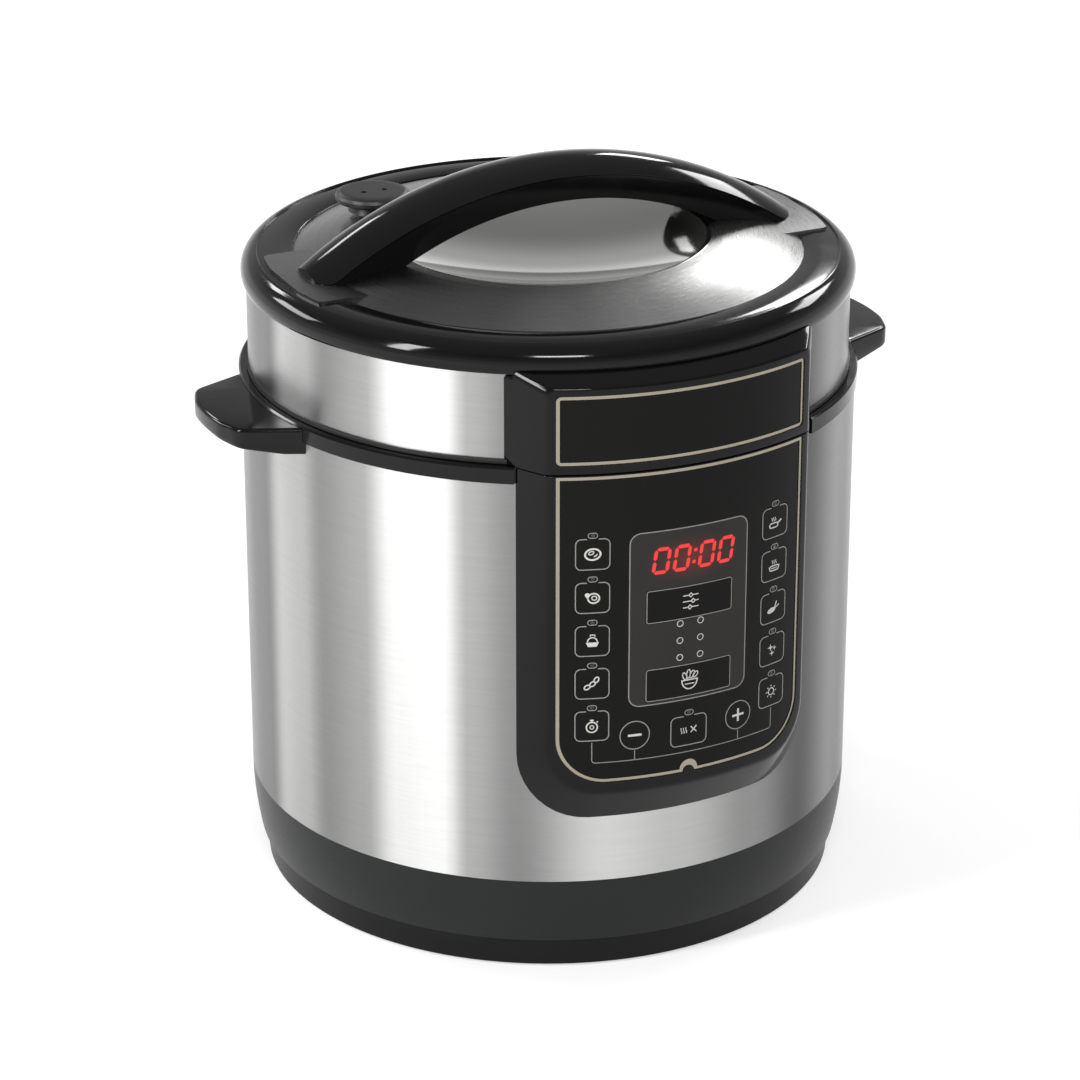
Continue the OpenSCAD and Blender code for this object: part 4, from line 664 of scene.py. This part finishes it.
def window_outline(grow=0.0):
    """The framed window: square top corners, round lower corners and a notch in the middle."""
    half, low, top, r = FRAME_HALF + grow, FRAME_LOW - grow, FRAME_TOP + grow, FRAME_CORNER + grow
    out = [(half, low + r), (half, top), (-half, top), (-half, low + r)]
    out += arc(-half + r, low + r, r, 180, 90, 14)[1:]
    out += arc(0, low, NOTCH - grow, 180, -180, 9)
    out += arc(half - r, low + r, r, 270, 90, 14)[:-1]
    return out


HALF_PAIR, LOW_PAIR, CORNER_PAIR = (79.3, 69.0), (83.0, 100.0), (34.0, 25.0)
LID_TOP_PAIR, LID_CORNER_PAIR = (306.9, 302.7), (3.0, 4.0)
SEAM_HALF_GAP, EDGE_BACK, EDGE_IN, LID_EDGE_IN, SEAM_EASE = 0.2, 1.1, 1.3, 1.2, 0.3
SHARP = 0.3  # radius of a corner that is all but square
PANEL_RADII, LID_RADIUS = (BODY_R + FIT, 152.5, 155.5), 153.0  # where the sloping sides are cut


def eased_edge(sizes, inward, seam, steps=6):
    """Levels that round the edge between the sloping side and the face.

    sizes(r) gives half width, low, high and the two corner radii. The edge at the seam is eased
    by the share seam only: the top one, or the low one when seam is negative."""
    out = []
    for k in range(steps + 1):
        t = k / steps
        r = (1 - t) ** 2 * (FACE_R - EDGE_BACK) + 2 * t * (1 - t) * FACE_R + t * t * FACE_R
        half, low, high, r_low, r_high = sizes(r)
        cut = inward * t * t
        low_cut, high_cut = (cut, cut * seam) if seam > 0 else (cut * -seam, cut)
        corners = max(r_low - cut, SHARP), max(r_high - cut, SHARP)
        out.append((r, half - cut, low + low_cut, high - high_cut) + corners)
    return out


def panel_sizes(r):
    low, corner = lean(LOW_PAIR, r), lean(CORNER_PAIR, r)
    return (lean(HALF_PAIR, r), low, SEAM_Z - SEAM_HALF_GAP, corner, SHARP)


def lid_sizes(r, low=SEAM_Z + SEAM_HALF_GAP, high=None):
    return (lean(HALF_PAIR, r), low, high or lean(LID_TOP_PAIR, r), SHARP, lean(LID_CORNER_PAIR, r))


levels = [(r, *panel_sizes(r)) for r in PANEL_RADII]
levels += eased_edge(panel_sizes, EDGE_IN, SEAM_EASE)
bezel("panel_rim", "base", levels, window_outline(FIT), "panel_bezel")

# The lid's bezel is lower behind the ring, and covers the foot of the steel band.
TRIM_R, UNDER_RING_R = LID_R + 0.8 + FIT, RING_OUT_R + 0.3
band_low, ring_low = BAND_Z + FIT, LID_RING_Z - FIT
levels = [(r, *lid_sizes(r, band_low, ring_low)) for r in (LID_R + FIT, TRIM_R)]
levels += [(r, *lid_sizes(r, high=ring_low)) for r in (TRIM_R, UNDER_RING_R)]
levels += [(r, *lid_sizes(r)) for r in (UNDER_RING_R, LID_RADIUS)]
levels += eased_edge(lid_sizes, LID_EDGE_IN, -SEAM_EASE)
badge_z, badge_h = (BADGE_LOW + BADGE_TOP) / 2, BADGE_TOP - BADGE_LOW
badge_hole = round_box(0, badge_z, 2 * (FRAME_HALF + FIT), badge_h + 2 * FIT, BADGE_CORNER + FIT)
bezel("badge_rim", "lid", levels, badge_hole, "lid_bezel")

# The shelves that the film and the badge plate lie on.
PAD_W, PAD_H, PAD_CORNER = KEY_W + 2 * KEY_GAP, KEY_H + 2 * KEY_GAP, 2.8
key_holes = []
for side in (-1, 1):
    x, key_lean = SHELF_R * sin(radians(side * KEY_ANG)), cos(radians(KEY_ANG))
    key_holes += [round_box(x, z, PAD_W * key_lean, PAD_H, PAD_CORNER) for z in ROW_Z]
    x, round_lean = SHELF_R * sin(radians(side * ROUND_ANG)), cos(radians(ROUND_ANG))
    r = ROUND_R + KEY_GAP
    key_holes.append(ellipse(x, ROUND_Z, r * round_lean, r, steps=32))
key_holes.append(round_box(0, CANCEL_Z, CANCEL_W + 2 * KEY_GAP, PAD_H, PAD_CORNER))
key_holes.append(round_box(0, WINDOW_MID, WINDOW_W - 2, WINDOW_H - 2, 2.4))
shelf = sheet(window_outline(FIT - 0.03), key_holes)
piece("panel_shelf", *shelf, "base", "gloss_black", SATIN)
shelf = sheet(round_box(0, badge_z, 2 * FRAME_HALF, badge_h, BADGE_CORNER), [])
piece("badge_shelf", *shelf, "lid", "gloss_black", SATIN)


# ---- lid ring
BEAD_R, BEAD_FROM, BEAD_SWEEP, CROWN_ARC_R, CROWN_STEPS = 9.5, -24, 102, 62.0, 14
bead_x, bead_z = RING_OUT_R - BEAD_R, LID_RING_Z + BEAD_R * 0.42
crown_x = (PLATE_R + bead_x + 1.6) / 2
crown_base_z = CROWN_Z - CROWN_ARC_R


def crown_z(x):
    return crown_base_z + sqrt(CROWN_ARC_R ** 2 - (x - crown_x) ** 2)


# Corners of the ring's section: x, z and rounding. First the bead, the groove and the crown.
GROOVE_X, GROOVE_Z, GROOVE_WALL_X = bead_x + 1.55, bead_z + 9.36, bead_x + 1.35
ring_corners = [(x, z, 0) for x, z in arc(bead_x, bead_z, BEAD_R, BEAD_FROM, BEAD_SWEEP, 30)]
ring_corners += [(GROOVE_X, GROOVE_Z, 0.3), (GROOVE_WALL_X, crown_z(GROOVE_WALL_X) + 0.05, 0.35)]
crown_out = bead_x + 0.4
for k in range(CROWN_STEPS + 1):
    x = crown_out - (crown_out - PLATE_R - 0.9) * k / CROWN_STEPS
    ring_corners.append((x, crown_z(x), 0))
# Then the edge on the dome plate, the flange under it and the skirt round the band's top.
flange_x, flange_z, skirt_x, skirt_z = PLATE_R - 5, PLATE_Z - 1.2, LID_IN_R - 2.6, BAND_TOP_Z - 4
ring_corners += [(PLATE_R, crown_z(PLATE_R), 0.55)]
ring_corners += [(x, z, 0) for x, z in (
    (PLATE_R, flange_z), (flange_x, flange_z), (flange_x, PLATE_Z - 3.8), (skirt_x, PLATE_Z - 6.8),
    (skirt_x, skirt_z), (LID_IN_R - FIT, skirt_z), (LID_IN_R - FIT, BAND_TOP_Z + FIT),
    (LID_R + FIT, BAND_TOP_Z + FIT))]
ring_corners += [(LID_R + FIT, LID_RING_Z, 0.2)]
ring = lathe(fillet(ring_corners, 3), 256)
piece("ring_lid", *ring, "lid", "gloss_black", GLOSS, ("lid_ring",), sharp=40.0)


# ---- side handles
SIDE_TIP_X, SIDE_TIP_Y, SIDE_TIP_R = 166.5, 24.0, 8.0
SIDE_BOW_X, SIDE_BOW_R, SIDE_BOW_SPAN, SIDE_ROOT_X, SIDE_ROOT_Y = 74.0, 105.0, 17.5, 140.0, 44.0
SIDE_TOP_Z, SIDE_STEP_Z, SIDE_TOP_ROUND, SIDE_LOW_ROUND = 260.0, 253.3, 1.9, 1.4
SIDE_WALL, SIDE_HOLLOW_X, SIDE_HOLLOW_Z, SIDE_CLEAR = 3.0, 158.0, 257.0, 2.5
SIDE_UNDER = (153.0, 247.0), (176.0, 250.5), (184.0, 253.0)  # x and height of the underside
EDGE_COUNT, BODY_COUNT, TOP_COUNT, LOW_COUNT = 96, 16, 6, 5


def hull(points):
    points = sorted(set(points))
    out = []
    for path in (points, points[::-1]):
        part = []
        for x, z in path:
            while len(part) > 1:
                (x0, z0), (x1, z1) = part[-2:]
                if (x1 - x0) * (z - z0) - (z1 - z0) * (x - x0) > 0:
                    break
                part.pop()
            part.append((x, z))
        out += part[:-1]
    return out


def under_z(x):
    """Height of the side handle's underside."""
    (x0, z0), (x1, z1), (x2, z2) = SIDE_UNDER
    if x < x1:
        return z0 + (z1 - z0) * max(0.0, x - x0) / (x1 - x0)
    return z1 + (z2 - z1) * min(x - x1, x2 - x1) / (x2 - x1)


def side_outline():
    """The free edge from one root to the other, evenly stepped."""
    low_root, high_root = (SIDE_ROOT_X, -SIDE_ROOT_Y), (SIDE_ROOT_X, SIDE_ROOT_Y)
    cloud = [low_root, high_root]
    for tip_y in (-SIDE_TIP_Y, SIDE_TIP_Y):
        cloud += arc(SIDE_TIP_X, tip_y, SIDE_TIP_R, 0, 360, 72)
    cloud += arc(SIDE_BOW_X, 0, SIDE_BOW_R, -SIDE_BOW_SPAN / 2, SIDE_BOW_SPAN, 70)
    ring = hull([(round(x, 5), round(y, 5)) for x, y in cloud])
    start = ring.index(low_root)
    ring = ring[start:] + ring[:start]
    ring = ring[:ring.index(high_root) + 1]
    lengths = [0.0]
    for p, q in zip(ring, ring[1:]):
        lengths.append(lengths[-1] + hypot(q[0] - p[0], q[1] - p[1]))
    out = []
    for k in range(EDGE_COUNT + 1):
        want = lengths[-1] * k / EDGE_COUNT
        i = max(j for j in range(len(lengths)) if lengths[j] <= want + 1e-9)
        i = min(i, len(ring) - 2)
        (x0, y0), (x1, y1) = ring[i:i + 2]
        t = (want - lengths[i]) / (lengths[i + 1] - lengths[i])
        out.append((x0 + (x1 - x0) * t, y0 + (y1 - y0) * t))
    for _ in range(3):
        soft = [((a[0] + 2 * b[0] + c[0]) / 4, (a[1] + 2 * b[1] + c[1]) / 4)
                for a, b, c in zip(out, out[1:], out[2:])]
        out = out[:1] + soft + out[-1:]
    return [p for p in out if hypot(*p) > RING_R + SIDE_CLEAR]


def with_normals(points):
    """The points, each with the outward normal of the line there."""
    out = []
    for i, p in enumerate(points):
        a, b = points[max(i - 1, 0)], points[min(i + 1, len(points) - 1)]
        d = hypot(b[0] - a[0], b[1] - a[1])
        out.append((p, ((b[1] - a[1]) / d, -(b[0] - a[0]) / d)))
    return out


SIDE_EDGE = with_normals(side_outline())


def meets_circle(end, before, r):
    """Where the line from before through end first meets the circle of radius r."""
    d = (end[0] - before[0], end[1] - before[1])
    d = (d[0] / hypot(*d), d[1] / hypot(*d))
    b = end[0] * d[0] + end[1] * d[1]
    c = end[0] ** 2 + end[1] ** 2 - r * r
    root = sqrt(b * b - c)
    t = -b - root if -b - root > 0 else -b + root
    return (end[0] + d[0] * t, end[1] + d[1] * t)


def moved_in(inset):
    return [(p[0] - n[0] * inset, p[1] - n[1] * inset) for p, n in SIDE_EDGE]


def side_ring(inset, body_r, z_of):
    """A closed loop round the side handle: its free edge, moved in, and the arc along the body."""
    edge = moved_in(inset)
    start, stop = meets_circle(edge[0], edge[1], body_r), meets_circle(edge[-1], edge[-2], body_r)
    a0, a1 = atan2(stop[1], stop[0]), atan2(start[1], start[0])
    turns = [a0 + (a1 - a0) * k / BODY_COUNT for k in range(1, BODY_COUNT)]
    loop = [start] + edge[1:-1] + [stop] + [(body_r * cos(a), body_r * sin(a)) for a in turns]
    return [(x, y, z_of(x)) for x, y in loop]


def filled(outer, inner, z_of):
    """A horizontal face inside a loop, with an optional hole."""
    flat, kept = meshed([[p[:2] for p in loop] for loop in (outer, inner)], within=True)
    return [(p.x, p.y, z_of(p.x)) for p in flat], kept


def side_handle(name, stands_for, side):
    """A grip with rounded edges, stepped over the mid ring and hollow underneath."""
    ring_r, skin_r = RING_R + 0.1, BODY_R + FIT
    loops = []
    for k in range(TOP_COUNT + 1):
        c, s = cos(pi / 2 * k / TOP_COUNT), sin(pi / 2 * k / TOP_COUNT)
        z = SIDE_TOP_Z - SIDE_TOP_ROUND * (1 - c)
        loops.append(side_ring(SIDE_TOP_ROUND * (1 - s), ring_r, lambda x: z))
    for r in (ring_r, skin_r):
        loops.append(side_ring(0.0, r, lambda x: max(SIDE_STEP_Z, under_z(x) + SIDE_LOW_ROUND)))
    for k in range(1, LOW_COUNT + 1):
        c, s = cos(pi / 2 * k / LOW_COUNT), sin(pi / 2 * k / LOW_COUNT)
        lift = SIDE_LOW_ROUND * (1 - s)
        loops.append(side_ring(SIDE_LOW_ROUND * (1 - c), skin_r, lambda x: under_z(x) + lift))
    inner = [p for p in moved_in(SIDE_WALL) if p[0] > SIDE_HOLLOW_X]
    inner = [(SIDE_HOLLOW_X, inner[0][1] - 0.4)] + inner + [(SIDE_HOLLOW_X, inner[-1][1] + 0.4)]
    low_loop = [(x, y, under_z(x)) for x, y in inner]
    high_loop = [(x, y, SIDE_HOLLOW_Z) for x, y in inner]
    verts, faces = merge(
        wall(loops), filled(loops[0], [], lambda x: SIDE_TOP_Z),
        filled(loops[-1], low_loop, under_z), wall([low_loop, high_loop]),
        filled(high_loop, [], lambda x: SIDE_HOLLOW_Z))
    verts = [(side * x, side * y, z) for x, y, z in verts]
    piece(name, verts, faces, "base", "gloss_black", GLOSS, (stands_for,), sharp=40.0)


side_handle("grip_right", "side_handle_right", 1)
side_handle("grip_left", "side_handle_left", -1)


# ---- polished dish of the lid
DISH_ARC = (DISH_R ** 2 + DISH_DEPTH ** 2) / (2 * DISH_DEPTH)
DISH_LOW = DISH_RIM_Z - DISH_DEPTH


def dish_z(r):
    return DISH_LOW + DISH_ARC - sqrt(DISH_ARC ** 2 - r * r)


def dish_profile(steps=40):
    """The polished face, a little proud of the pressed plate, with a rolled edge."""
    edge, lift, sunk = DISH_R - 0.6, 0.25, 0.35
    top = [(edge * k / steps, dish_z(edge * k / steps) + lift) for k in range(steps + 1)]
    roll = [(edge + 0.45, dish_z(edge) + 0.1), (edge + 0.5, dish_z(edge) - 0.1)]
    return top + roll + [(r, z - lift - sunk) for r, z in reversed(top)]


piece("dish_face", *lathe(dish_profile(), joined=False), "lid", "satin_plate", MIRROR, sharp=50.0)


# ---- coil spring under the sensor button
COIL_R, COIL_WIRE, COIL_TURNS, COIL_STEPS, COIL_SIDES, COIL_SINK = 9.0, 0.6, 4, 24, 10, 2.0
plain_spring = NODES["sensor_spring"]
heights = [(plain_spring.matrix_world @ v.co).z / MM for v in plain_spring.data.vertices]
coil_low, coil_high = min(heights), max(heights)


def coil():
    """A round wire wound between the bracket and the button's cap."""
    total, wire = COIL_TURNS * COIL_STEPS, COIL_WIRE * 0.97
    loops = []
    for i in range(total + 1):
        a = 2 * pi * i / COIL_STEPS
        z = coil_low + COIL_WIRE + (coil_high - coil_low - 2 * COIL_WIRE) * i / total
        turns = [2 * pi * k / COIL_SIDES for k in range(COIL_SIDES)]
        loops.append([((COIL_R + wire * cos(b)) * cos(a), (COIL_R + wire * cos(b)) * sin(a),
                       z + wire * sin(b)) for b in turns])
    verts, faces = wall(loops)
    last = len(verts) - 1
    ends = [tuple(range(COIL_SIDES)), tuple(range(last, last - COIL_SIDES, -1))]
    return verts, ends + faces


spring = piece("sensor_coil", *coil(), "base", "plain_steel", SHEET, ("sensor_spring",), sharp=50.0)
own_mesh(spring)


# ---- printed graphics
def star(x, z, r):
    """A sparkle with four points."""
    return [on_circle(x, z, r if k % 2 == 0 else r * 0.3, 45 * k) for k in range(8)]


class Sheaf:
    """Raised marks that make one piece, in x and z about a middle."""

    def __init__(self, x=0.0, z=0.0, turn=0.0):
        self.x, self.z, self.turn, self.parts = x, z, turn, []

    def moved(self, points):
        return [(self.x + px, self.z + pz) for px, pz in points]

    def line(self, points, width=LINE):
        self.parts.append(strip(self.moved(spread(points)), width, self.turn))
        return self

    def loop(self, points, width=LINE):
        self.parts.append(strip(self.moved(divided(points)), width, self.turn, closed=True))
        return self

    def fill(self, points):
        self.parts.append(patch(self.moved(points), self.turn))

    def add(self, other):
        self.parts += other.parts

    def make(self, name, body, material, slot="overlay_film"):
        piece(name, *merge(*self.parts), body, slot, material)


def steam(s, x, z, pitch=1.1, tall=1.9):
    for k in (-1, 0, 1):
        at = x + k * pitch
        s.line([(at + 0.28 * sin(t * 2 * pi / 6), z + tall * t / 6) for t in range(7)], 0.36)


def steak(s):
    s.loop([(1.25 * x, z) for x, z in ellipse(0, 0.2, 2.9, 2.7, 20)], 0.85)
    s.loop(ellipse(-0.7, 0.9, 1.25, 0.75, 25), 0.5)
    s.line([(0.4, -0.9), (1.5, -0.5), (2.1, 0.4)], 0.5)


def poultry(s):
    s.loop(ellipse(0.5, 0.0, 2.7, 2.4), 0.75)
    s.fill(ellipse(-2.5, 1.7, 1.15, 1.0, 30))
    s.loop(ellipse(0.8, 0.1, 1.15, 1.0), 0.5)
    s.line([(-2.9, 0.9), (-1.9, -0.4)], 0.6)


def rice(s):
    s.fill([(-3.1, -0.5), (-2.0, -2.7), (2.0, -2.7), (3.1, -0.5)])
    s.line(arc(0, -0.3, 2.3, 0, 180, 12), 0.55)
    s.line([(-1.0, 2.5), (-0.9, 3.3), (1.1, 3.3), (1.2, 2.5)], 0.45)


def beans(s):
    for x, z, tilt in ((-2.3, -1.5, 30), (0.2, 0.1, 40), (2.0, 2.1, 60)):
        s.loop(ellipse(x, z, 1.5, 1.0, tilt), 0.6)


def stopwatch(s):
    s.loop(ellipse(0, -0.4, 2.6, 2.6), 0.65)
    s.loop(ellipse(0, -0.4, 0.9, 0.9), 0.45)
    s.line([(-0.9, 3.2), (0.9, 3.2)], 0.7)
    s.line([(0, 2.4), (0, 3.1)], 0.6)
    s.line([(2.2, 2.0), (2.8, 2.6)], 0.55)


def frying_pan(s):
    s.loop(round_box(-0.9, -1.3, 5.2, 2.2, 1.0), 0.6)
    s.line([(1.6, -0.7), (4.0, 0.7)], 0.85)
    steam(s, -0.9, 0.8)


def roasting_pot(s):
    s.loop(round_box(0, -1.4, 5.8, 2.4, 1.1), 0.6)
    s.line([(-1.9, -1.4), (1.9, -1.4)], 0.4)
    s.line([(-3.5, -0.7), (-2.8, -0.7)], 0.5)
    s.line([(2.8, -0.7), (3.5, -0.7)], 0.5)
    steam(s, 0, 0.7)


def stirring(s):
    s.fill(ellipse(-1.1, -1.2, 2.6, 1.3, 14))
    s.line([(0.6, -0.8), (1.5, 1.2), (2.2, 2.9)], 0.6)
    s.line([(1.0, -0.6), (3.8, 0.9)], 0.55)


def sparkles(s):
    s.fill(star(-1.1, 1.3, 1.9))
    s.fill(star(1.5, 0.6, 1.3))
    s.fill(star(-0.1, -1.7, 1.6))


def sun(s):
    s.loop(ellipse(0, 0, 1.75, 1.75), 0.5)
    for k in range(8):
        s.line([on_circle(0, 0, r, 45 * k) for r in (2.5, 3.3)], 0.45)


LEFT_ICONS = [steak, poultry, rice, beans, stopwatch]
RIGHT_ICONS = [frying_pan, roasting_pot, stirring, sparkles, sun]
GAP_HALF = 2.7


def broken_box(w, h, r):
    """A rounded outline that leaves room for the lamp in the middle of its top side."""
    whole = round_box(0, 0, w, h, r)
    start = max(range(len(whole)), key=lambda i: (round(whole[i][1], 4), -whole[i][0]))
    ring = whole[start:] + whole[:start]
    ring = [p for p in ring if not (p[1] > h / 2 - 0.01 and abs(p[0]) < GAP_HALF)]
    return [(-GAP_HALF, h / 2)] + ring + [(GAP_HALF, h / 2)]


def key_marks(name, edge, icon, shift, body=None):
    """Outline and icon of a key, which move with it. The icon stands shift above the middle."""
    body = "key_%s_body" % (body or name)
    edge.make("key_%s_outline" % name, body, INK)
    sign = Sheaf(z=edge.z + shift, turn=edge.turn)
    icon(sign)
    sign.make("key_%s_icon" % name, body, INK_BRIGHT)


def lamp_key(width, z, turn):
    return Sheaf(z=z, turn=turn).line(broken_box(width - LINE, KEY_H - LINE, 2.6))


for row, z in enumerate(ROW_Z):
    for side, first, icons in ((-1, 1, LEFT_ICONS), (1, 6, RIGHT_ICONS)):
        number = str(first + row)
        edge = lamp_key(KEY_W, z, side * KEY_ANG)
        key_marks(number, edge, icons[row], -0.2, "program_" + number)


def cancel_icon(s):
    steam(s, -2.6, -1.1, 1.25, 3.0)
    s.line([(1.0, -1.1), (4.0, 2.0)], 0.55)
    s.line([(1.0, 2.0), (4.0, -1.1)], 0.55)


key_marks("cancel", lamp_key(CANCEL_W, CANCEL_Z, 0.0), cancel_icon, -0.2)

for side, name in ((-1, "minus"), (1, "plus")):
    ring = Sheaf(z=ROUND_Z, turn=side * ROUND_ANG)
    ring.loop(ellipse(0, 0, ROUND_R - LINE / 2, ROUND_R - LINE / 2, steps=48))
    ring.make("key_%s_ring" % name, "key_%s_body" % name, INK)
    sign = Sheaf(z=ROUND_Z, turn=side * ROUND_ANG).line([(-3.3, 0), (3.3, 0)], 1.15)
    if side > 0:
        sign.line([(0, -3.3), (0, -0.6)], 1.15)
        sign.line([(0, 0.6), (0, 3.3)], 1.15)
    sign.make("key_%s_sign" % name, "key_%s_body" % name, INK_BRIGHT)


def sliders(s):
    for k, shift in ((1, 0.0), (0, 1.2), (-1, -0.4)):
        z = 3.0 * k
        s.line([(-4.0, z), (shift - 1.0, z)], 0.5)
        s.line([(shift + 1.0, z), (4.0, z)], 0.5)
        s.loop([(shift - 1.1, z), (shift, z - 1.0), (shift + 1.1, z), (shift, z + 1.0)], 0.5)


def salad(s):
    rim = [(4.0 * cos(radians(a)), 0.4 + 4.6 * sin(radians(a))) for a in range(190, 352, 9)]
    s.loop([(-4.0, 0.4)] + rim + [(4.0, 0.4)], 0.6)
    for x, z, reach, tilt in ((-2.6, 2.6, 1.9, 110), (-0.6, 3.4, 2.2, 85), (1.3, 3.0, 2.0, 65),
                              (3.0, 2.7, 1.7, 50)):
        s.loop(ellipse(x, z, reach, 0.95, tilt, 14), 0.5)
    s.line([(-2.4, -1.6), (2.4, -1.6)], 0.5)


for name, z, icon, shift in (("adjust", ADJUST_Z, sliders, 0.3), ("menu", MENU_Z, salad, -0.4)):
    edge = Sheaf(z=z).loop(round_box(0, 0, LONG_W - FINE, LONG_H - FINE, 1.0), FINE)
    key_marks(name, edge, icon, shift)

rings = Sheaf()
for side in (-1, 1):
    for z in LAMP_ROWS:
        rings.add(Sheaf(z=z, turn=side * LAMP_ANG).loop(ellipse(0, 0, 1.5, 1.5), 0.36))
rings.make("lamp_rings", "base", INK_BRIGHT)

# Lines that stay on the panel: round the lamps, round the window and the tie below.
fixed = Sheaf()
for turn, z in [(side * KEY_ANG, z) for side in (-1, 1) for z in ROW_Z] + [(0.0, CANCEL_Z)]:
    fixed.add(Sheaf(z=z + LAMP_LIFT - 0.1, turn=turn).loop(round_box(0, 0, 4.3, 2.5, 1.2), FINE))
fixed.add(Sheaf(z=WINDOW_MID).loop(round_box(0, 0, WINDOW_W + 0.2, WINDOW_H + 0.2, 5.2)))

# The line that ties the two lowest keys to the plus and minus keys.
TIE_Z, TIE_R = 115.6, 1.6
tie_x = OVERLAY_R * sin(radians(KEY_ANG))
round_x = OVERLAY_R * sin(radians(ROUND_ANG))
key_low = ROW_Z[-1] - KEY_H / 2 - KEY_GAP - LINE
half_tie = arc(tie_x - TIE_R, TIE_Z + TIE_R, TIE_R, 270, 90, 5) + [(tie_x, key_low)]
fixed.line([(-x, z) for x, z in reversed(half_tie)] + half_tie, FINE)
for side in (-1, 1):
    fixed.line([(side * round_x, TIE_Z), (side * round_x, ROUND_Z - ROUND_R - KEY_GAP - 0.1)], FINE)
fixed.make("panel_lines", "base", INK)

# Four lit digits with a colon, leaning as such displays do.
DIGIT_W, DIGIT_H, DIGIT_T, DIGIT_X = 8.4, 13.2, 1.75, (-16.6, -6.4, 6.4, 16.6)
DOT_Z, DOT_SIZE, LEAN = 2.9, 1.7, tan(radians(8))


def segment(s, x, z, length, upright):
    half, t = length / 2 - 0.25, DIGIT_T / 2
    shape = [(-half, 0), (-half + t, -t), (half - t, -t), (half, 0), (half - t, t), (-half + t, t)]
    if upright:
        shape = [(-v, u) for u, v in shape]
    s.fill([(x + u + (z + v) * LEAN, z + v) for u, v in shape])


lit = Sheaf(1.7, DIGITS_Z + 0.3)
span, rise = DIGIT_W - DIGIT_T, (DIGIT_H - DIGIT_T) / 2
for at in DIGIT_X:
    for up in (-1, 1):
        segment(lit, at, up * rise, span, False)
        for side in (-1, 1):
            segment(lit, at + side * span / 2, up * rise / 2, rise, True)
for up in (-1, 1):
    lit.fill([(x + z * LEAN, z) for x, z in round_box(0, up * DOT_Z, DOT_SIZE, DOT_SIZE, 0.4, 2)])
lit.make("display_digits", "base", DIGIT, "tinted_lens")


# ---- camera
# Angles in radians, reach in metres, aim in millimetres.
AZ, EL, REACH, LENS, SENSOR = radians(-24.5), 0.398926, 1.96128, 130.92, 36.0
AIM_SIDE, AIM_Z = -3.949, 162.445
BACK = Vector((sin(AZ) * cos(EL), -cos(AZ) * cos(EL), sin(EL)))
AIM = Vector((cos(AZ) * AIM_SIDE, sin(AZ) * AIM_SIDE, AIM_Z)) * MM
camera = bpy.data.objects.new("camera", bpy.data.cameras.new("camera"))
camera.data.lens, camera.data.sensor_width = LENS, SENSOR
camera.data.clip_start, camera.data.clip_end = 0.1, 60.0
camera.location = AIM + BACK * REACH
camera.rotation_euler = (-BACK).to_track_quat("-Z", "Y").to_euler()
scene.collection.objects.link(camera)
scene.camera = camera


# ---- floor, world and lamps
FLOOR_HALF, GLOW_NEAR, GLOW_FAR = 12.0, (0.3, 0.55), (1.6, 0.8)
SKY = [(0.0, 0.97), (0.22, 0.52), (0.5, 0.27), (1.0, 0.45)]  # height on the sky and its tone


def seen_rays(s):
    """One for rays of the camera, mirrors and glass, and zero for light that falls on things."""
    path = s.node("ShaderNodeLightPath")
    both = s.math("ADD", path.outputs["Is Camera Ray"], path.outputs["Is Glossy Ray"])
    return s.math("ADD", both, path.outputs["Is Transmission Ray"], clamp=True)


def floor_material():
    """A white floor that glows for the seen rays, more so further away."""
    s = Shade("floor_white")
    s.set(Base_Color=s.mix(s.noise(3.0, 2.0), grey(0.5), grey(0.515)), Roughness=0.9)
    (near, faint), (far, bright) = GLOW_NEAR, GLOW_FAR
    glow = s.span(s.polar()[1], near, far, faint, bright)
    s.set(Specular_IOR_Level=0.0, Emission_Color=grey(1.0))
    s.set(Emission_Strength=s.times(seen_rays(s), glow))
    return s.material


corners = [(x * FLOOR_HALF, y * FLOOR_HALF, 0) for x, y in ((-1, -1), (1, -1), (1, 1), (-1, 1))]
floor_mesh = bpy.data.meshes.new("floor")
floor_mesh.from_pydata(corners, [], [(0, 1, 2, 3)])
floor_mesh.materials.append(floor_material())
floor = bpy.data.objects.new("floor", floor_mesh)
scene.collection.objects.link(floor)

world = bpy.data.worlds.new("studio")
scene.world = world
world.use_nodes = True
sky = world.node_tree
facing = sky.nodes.new("ShaderNodeTexCoord")
parts = sky.nodes.new("ShaderNodeSeparateXYZ")
height = sky.nodes.new("ShaderNodeValToRGB")
set_ramp(height.color_ramp, [(place, grey(tone)) for place, tone in SKY])
sky.links.new(facing.outputs["Generated"], parts.inputs[0])
sky.links.new(parts.outputs[2], height.inputs[0])
sky.links.new(height.outputs[0], sky.nodes["Background"].inputs["Color"])


def lamp(name, azimuth, elevation, distance, width, tall, power):
    """A soft lamp that looks at the middle of the cooker; azimuth in degrees from the front."""
    light = bpy.data.lights.new(name, "AREA")
    light.shape = "RECTANGLE"
    light.size, light.size_y, light.energy = width, tall, power
    made = bpy.data.objects.new(name, light)
    a, e = radians(azimuth), radians(elevation)
    towards = Vector((sin(a) * cos(e), -cos(a) * cos(e), sin(e)))
    made.location = Vector((0, 0, 0.2)) + towards * distance
    made.rotation_euler = (-towards).to_track_quat("-Z", "Y").to_euler()
    made.visible_camera = False
    scene.collection.objects.link(made)


lamp("lamp_left", -78, 30, 1.6, 0.22, 0.8, 15)
lamp("lamp_far_left", -134, 27, 1.7, 0.7, 0.3, 8)
lamp("lamp_front", -20, 42, 1.9, 0.5, 0.2, 12)
lamp("lamp_right", 106, 34, 1.7, 0.8, 0.3, 11)
lamp("lamp_back", 141, 28, 1.8, 0.3, 0.16, 2.5)
lamp("lamp_foot", -170, 33, 1.8, 0.34, 0.16, 2.0)

scene.view_settings.view_transform = "Standard"
